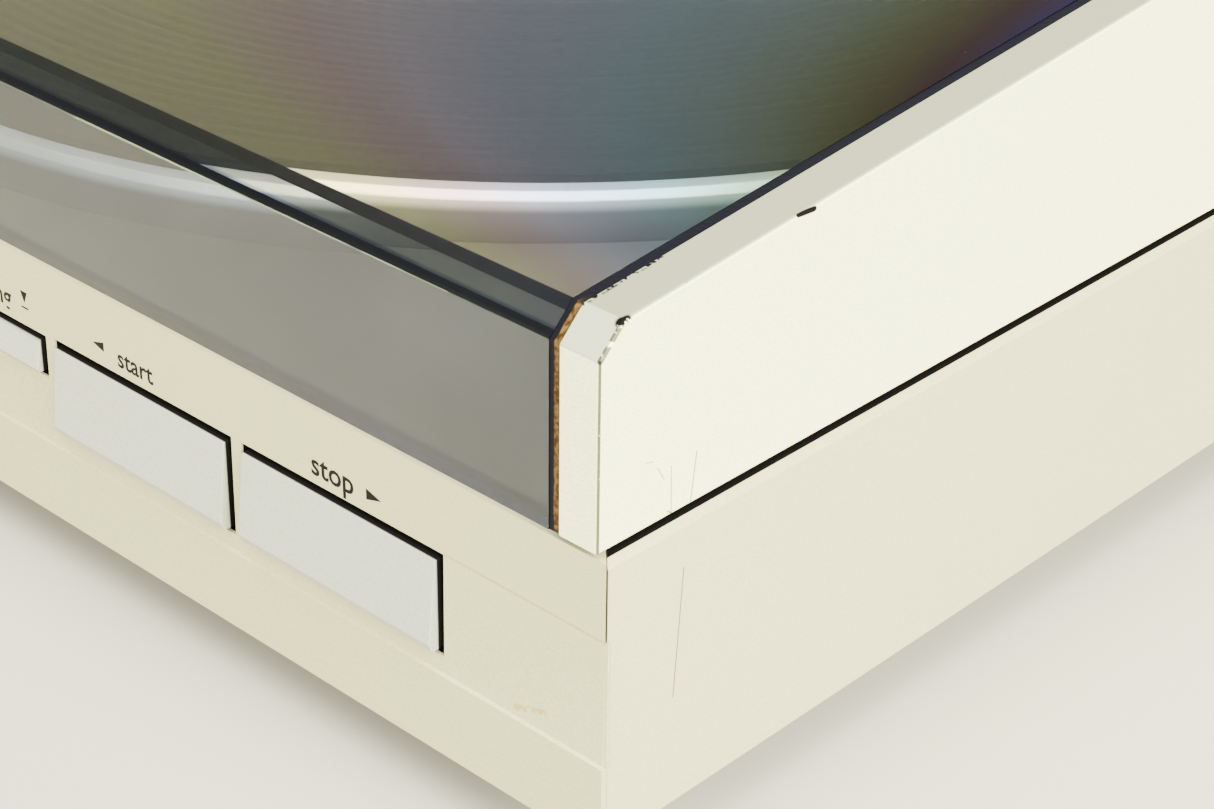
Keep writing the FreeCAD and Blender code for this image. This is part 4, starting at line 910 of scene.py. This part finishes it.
case_rear, cover_foot = case_high.y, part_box("bottom_cover")[0].z
vents = row_tree.grow("rear_vents", finish["black_plastic"], Count=14,
                      First=(-24 * MM, case_rear + 0.1 * MM, 34 * MM), Step=(4.2 * MM, 0, 0),
                      Rib=(1.8 * MM, 0.5 * MM, 20 * MM))
cabinet_detail(vents)
floor_vents = row_tree.grow("floor_vents", finish["black_plastic"], Count=18,
                            First=(80 * MM, 110 * MM, cover_foot - 0.1 * MM), Step=(4.6 * MM, 0, 0),
                            Rib=(2.0 * MM, 46 * MM, 0.5 * MM))
cabinet_detail(floor_vents)
feet_low, feet_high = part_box("feet")
foot_radius = feet_high.x - mount_at["feet_rest"].x
foot_axes = [(x, y) for y in (feet_low.y + foot_radius, feet_high.y - foot_radius)
             for x in (feet_low.x + foot_radius, feet_high.x - foot_radius)]
for number, (x, y) in enumerate(foot_axes):
    grip = ring_tree.grow(f"foot_grip_{number}", finish["foot_rubber"], Count=28, Radius=GRIP_RADIUS,
                          Centre=(x, y, GRIP_LEVEL), Turn=FLAT, Rib=(1.0 * MM, 0.9 * MM, 5.0 * MM))
    cabinet_detail(grip)
post_low, post_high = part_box("ground_post")
knurl = ring_tree.grow("ground_knurl", finish["zinc_steel"], Count=26, Radius=KNURL_RADIUS,
                       Centre=((post_low.x + post_high.x) / 2, post_high.y - 3.5 * MM,
                               (post_low.z + post_high.z) / 2),
                       Turn=(math.pi / 2, 0.0, 0.0), Rib=(0.5 * MM, 0.5 * MM, 3.6 * MM))
cabinet_detail(knurl)

# %% [markdown]
# ## Jack collars and the finger lift
# The two phono jacks wear a coloured collar each, white for left and red for right. The headshell has
# a bent strip for a fingertip. Both are short lathed or swept shapes made point by point.

# %% Collars and finger lift
WHITE_NYLON = grained("white_nylon", (0.70, 0.69, 0.66), 0.35, grain=0.6, swing=0.08)
RED_NYLON = grained("red_nylon", (0.50, 0.03, 0.025), 0.35, grain=0.6, swing=0.12)


def collar(name, material, x, y, z, inner, outer, long, around=48):
    """A ring about an axis that runs front to back, its front face at y; all in metres."""
    profile = [(inner, 0), (outer, 0), (outer, long * 0.8), (outer - long * 0.2, long), (inner, long)]
    turns = [2 * math.pi * step / around for step in range(around)]
    shape = bmesh.new()
    rings = [[shape.verts.new((x + r * math.cos(turn), y + deep, z + r * math.sin(turn)))
              for turn in turns] for r, deep in profile]
    for ring, nxt in zip(rings, rings[1:] + rings[:1]):
        for step in range(around):
            after = (step + 1) % around
            shape.faces.new((ring[step], ring[after], nxt[after], nxt[step]))
    bmesh.ops.recalc_face_normals(shape, faces=shape.faces)
    mesh = bpy.data.meshes.new(name)
    shape.to_mesh(mesh)
    shape.free()
    mesh.shade_smooth()
    mesh.set_sharp_from_angle(angle=HARD_EDGE)
    return cabinet_detail(link(name, mesh, material))


COLLAR_OUT, COLLAR_BORE, COLLAR_RADIUS, COLLAR_LONG = 1.52 * MM, 4.25 * MM, 5.4 * MM, 1.0 * MM
plate_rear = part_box("connector_plate")[1].y
for side, material in (("left", WHITE_NYLON), ("right", RED_NYLON)):
    jack = mount_at["phono_" + side]
    collar("jack_collar_" + side, material, jack.x, plate_rear + COLLAR_OUT, jack.z,
           COLLAR_BORE, COLLAR_RADIUS, COLLAR_LONG)

shell_low, shell_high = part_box("headshell")
lift_path = [(0.0, 0.0), (1.6, 0.0), (3.0, 0.5), (4.2, 1.6), (5.4, 2.2), (7.0, 2.2)]  # mm
lift_front, lift_wide, lift_thick = shell_low.y + 8 * MM, 5.0 * MM, 0.6 * MM
shape = bmesh.new()
slices = []
for out, up in lift_path:
    x, z = shell_high.x - 0.4 * MM + out * MM, (shell_low.z + shell_high.z) / 2 + up * MM
    section = ((0, 0), (lift_wide, 0), (lift_wide, lift_thick), (0, lift_thick))
    slices.append([shape.verts.new((x, lift_front + back, z + rise)) for back, rise in section])
for near, far in zip(slices, slices[1:]):
    for corner in range(4):
        after = (corner + 1) % 4
        shape.faces.new((near[corner], near[after], far[after], far[corner]))
shape.faces.new(slices[0])
shape.faces.new(slices[-1])
bmesh.ops.recalc_face_normals(shape, faces=shape.faces)
lift_mesh = bpy.data.meshes.new("finger_lift")
shape.to_mesh(lift_mesh)
shape.free()
finger_lift = link("finger_lift", lift_mesh, finish["arm_aluminium"])
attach(finger_lift, "tonearm")
print("collars 2, finger lift 1")
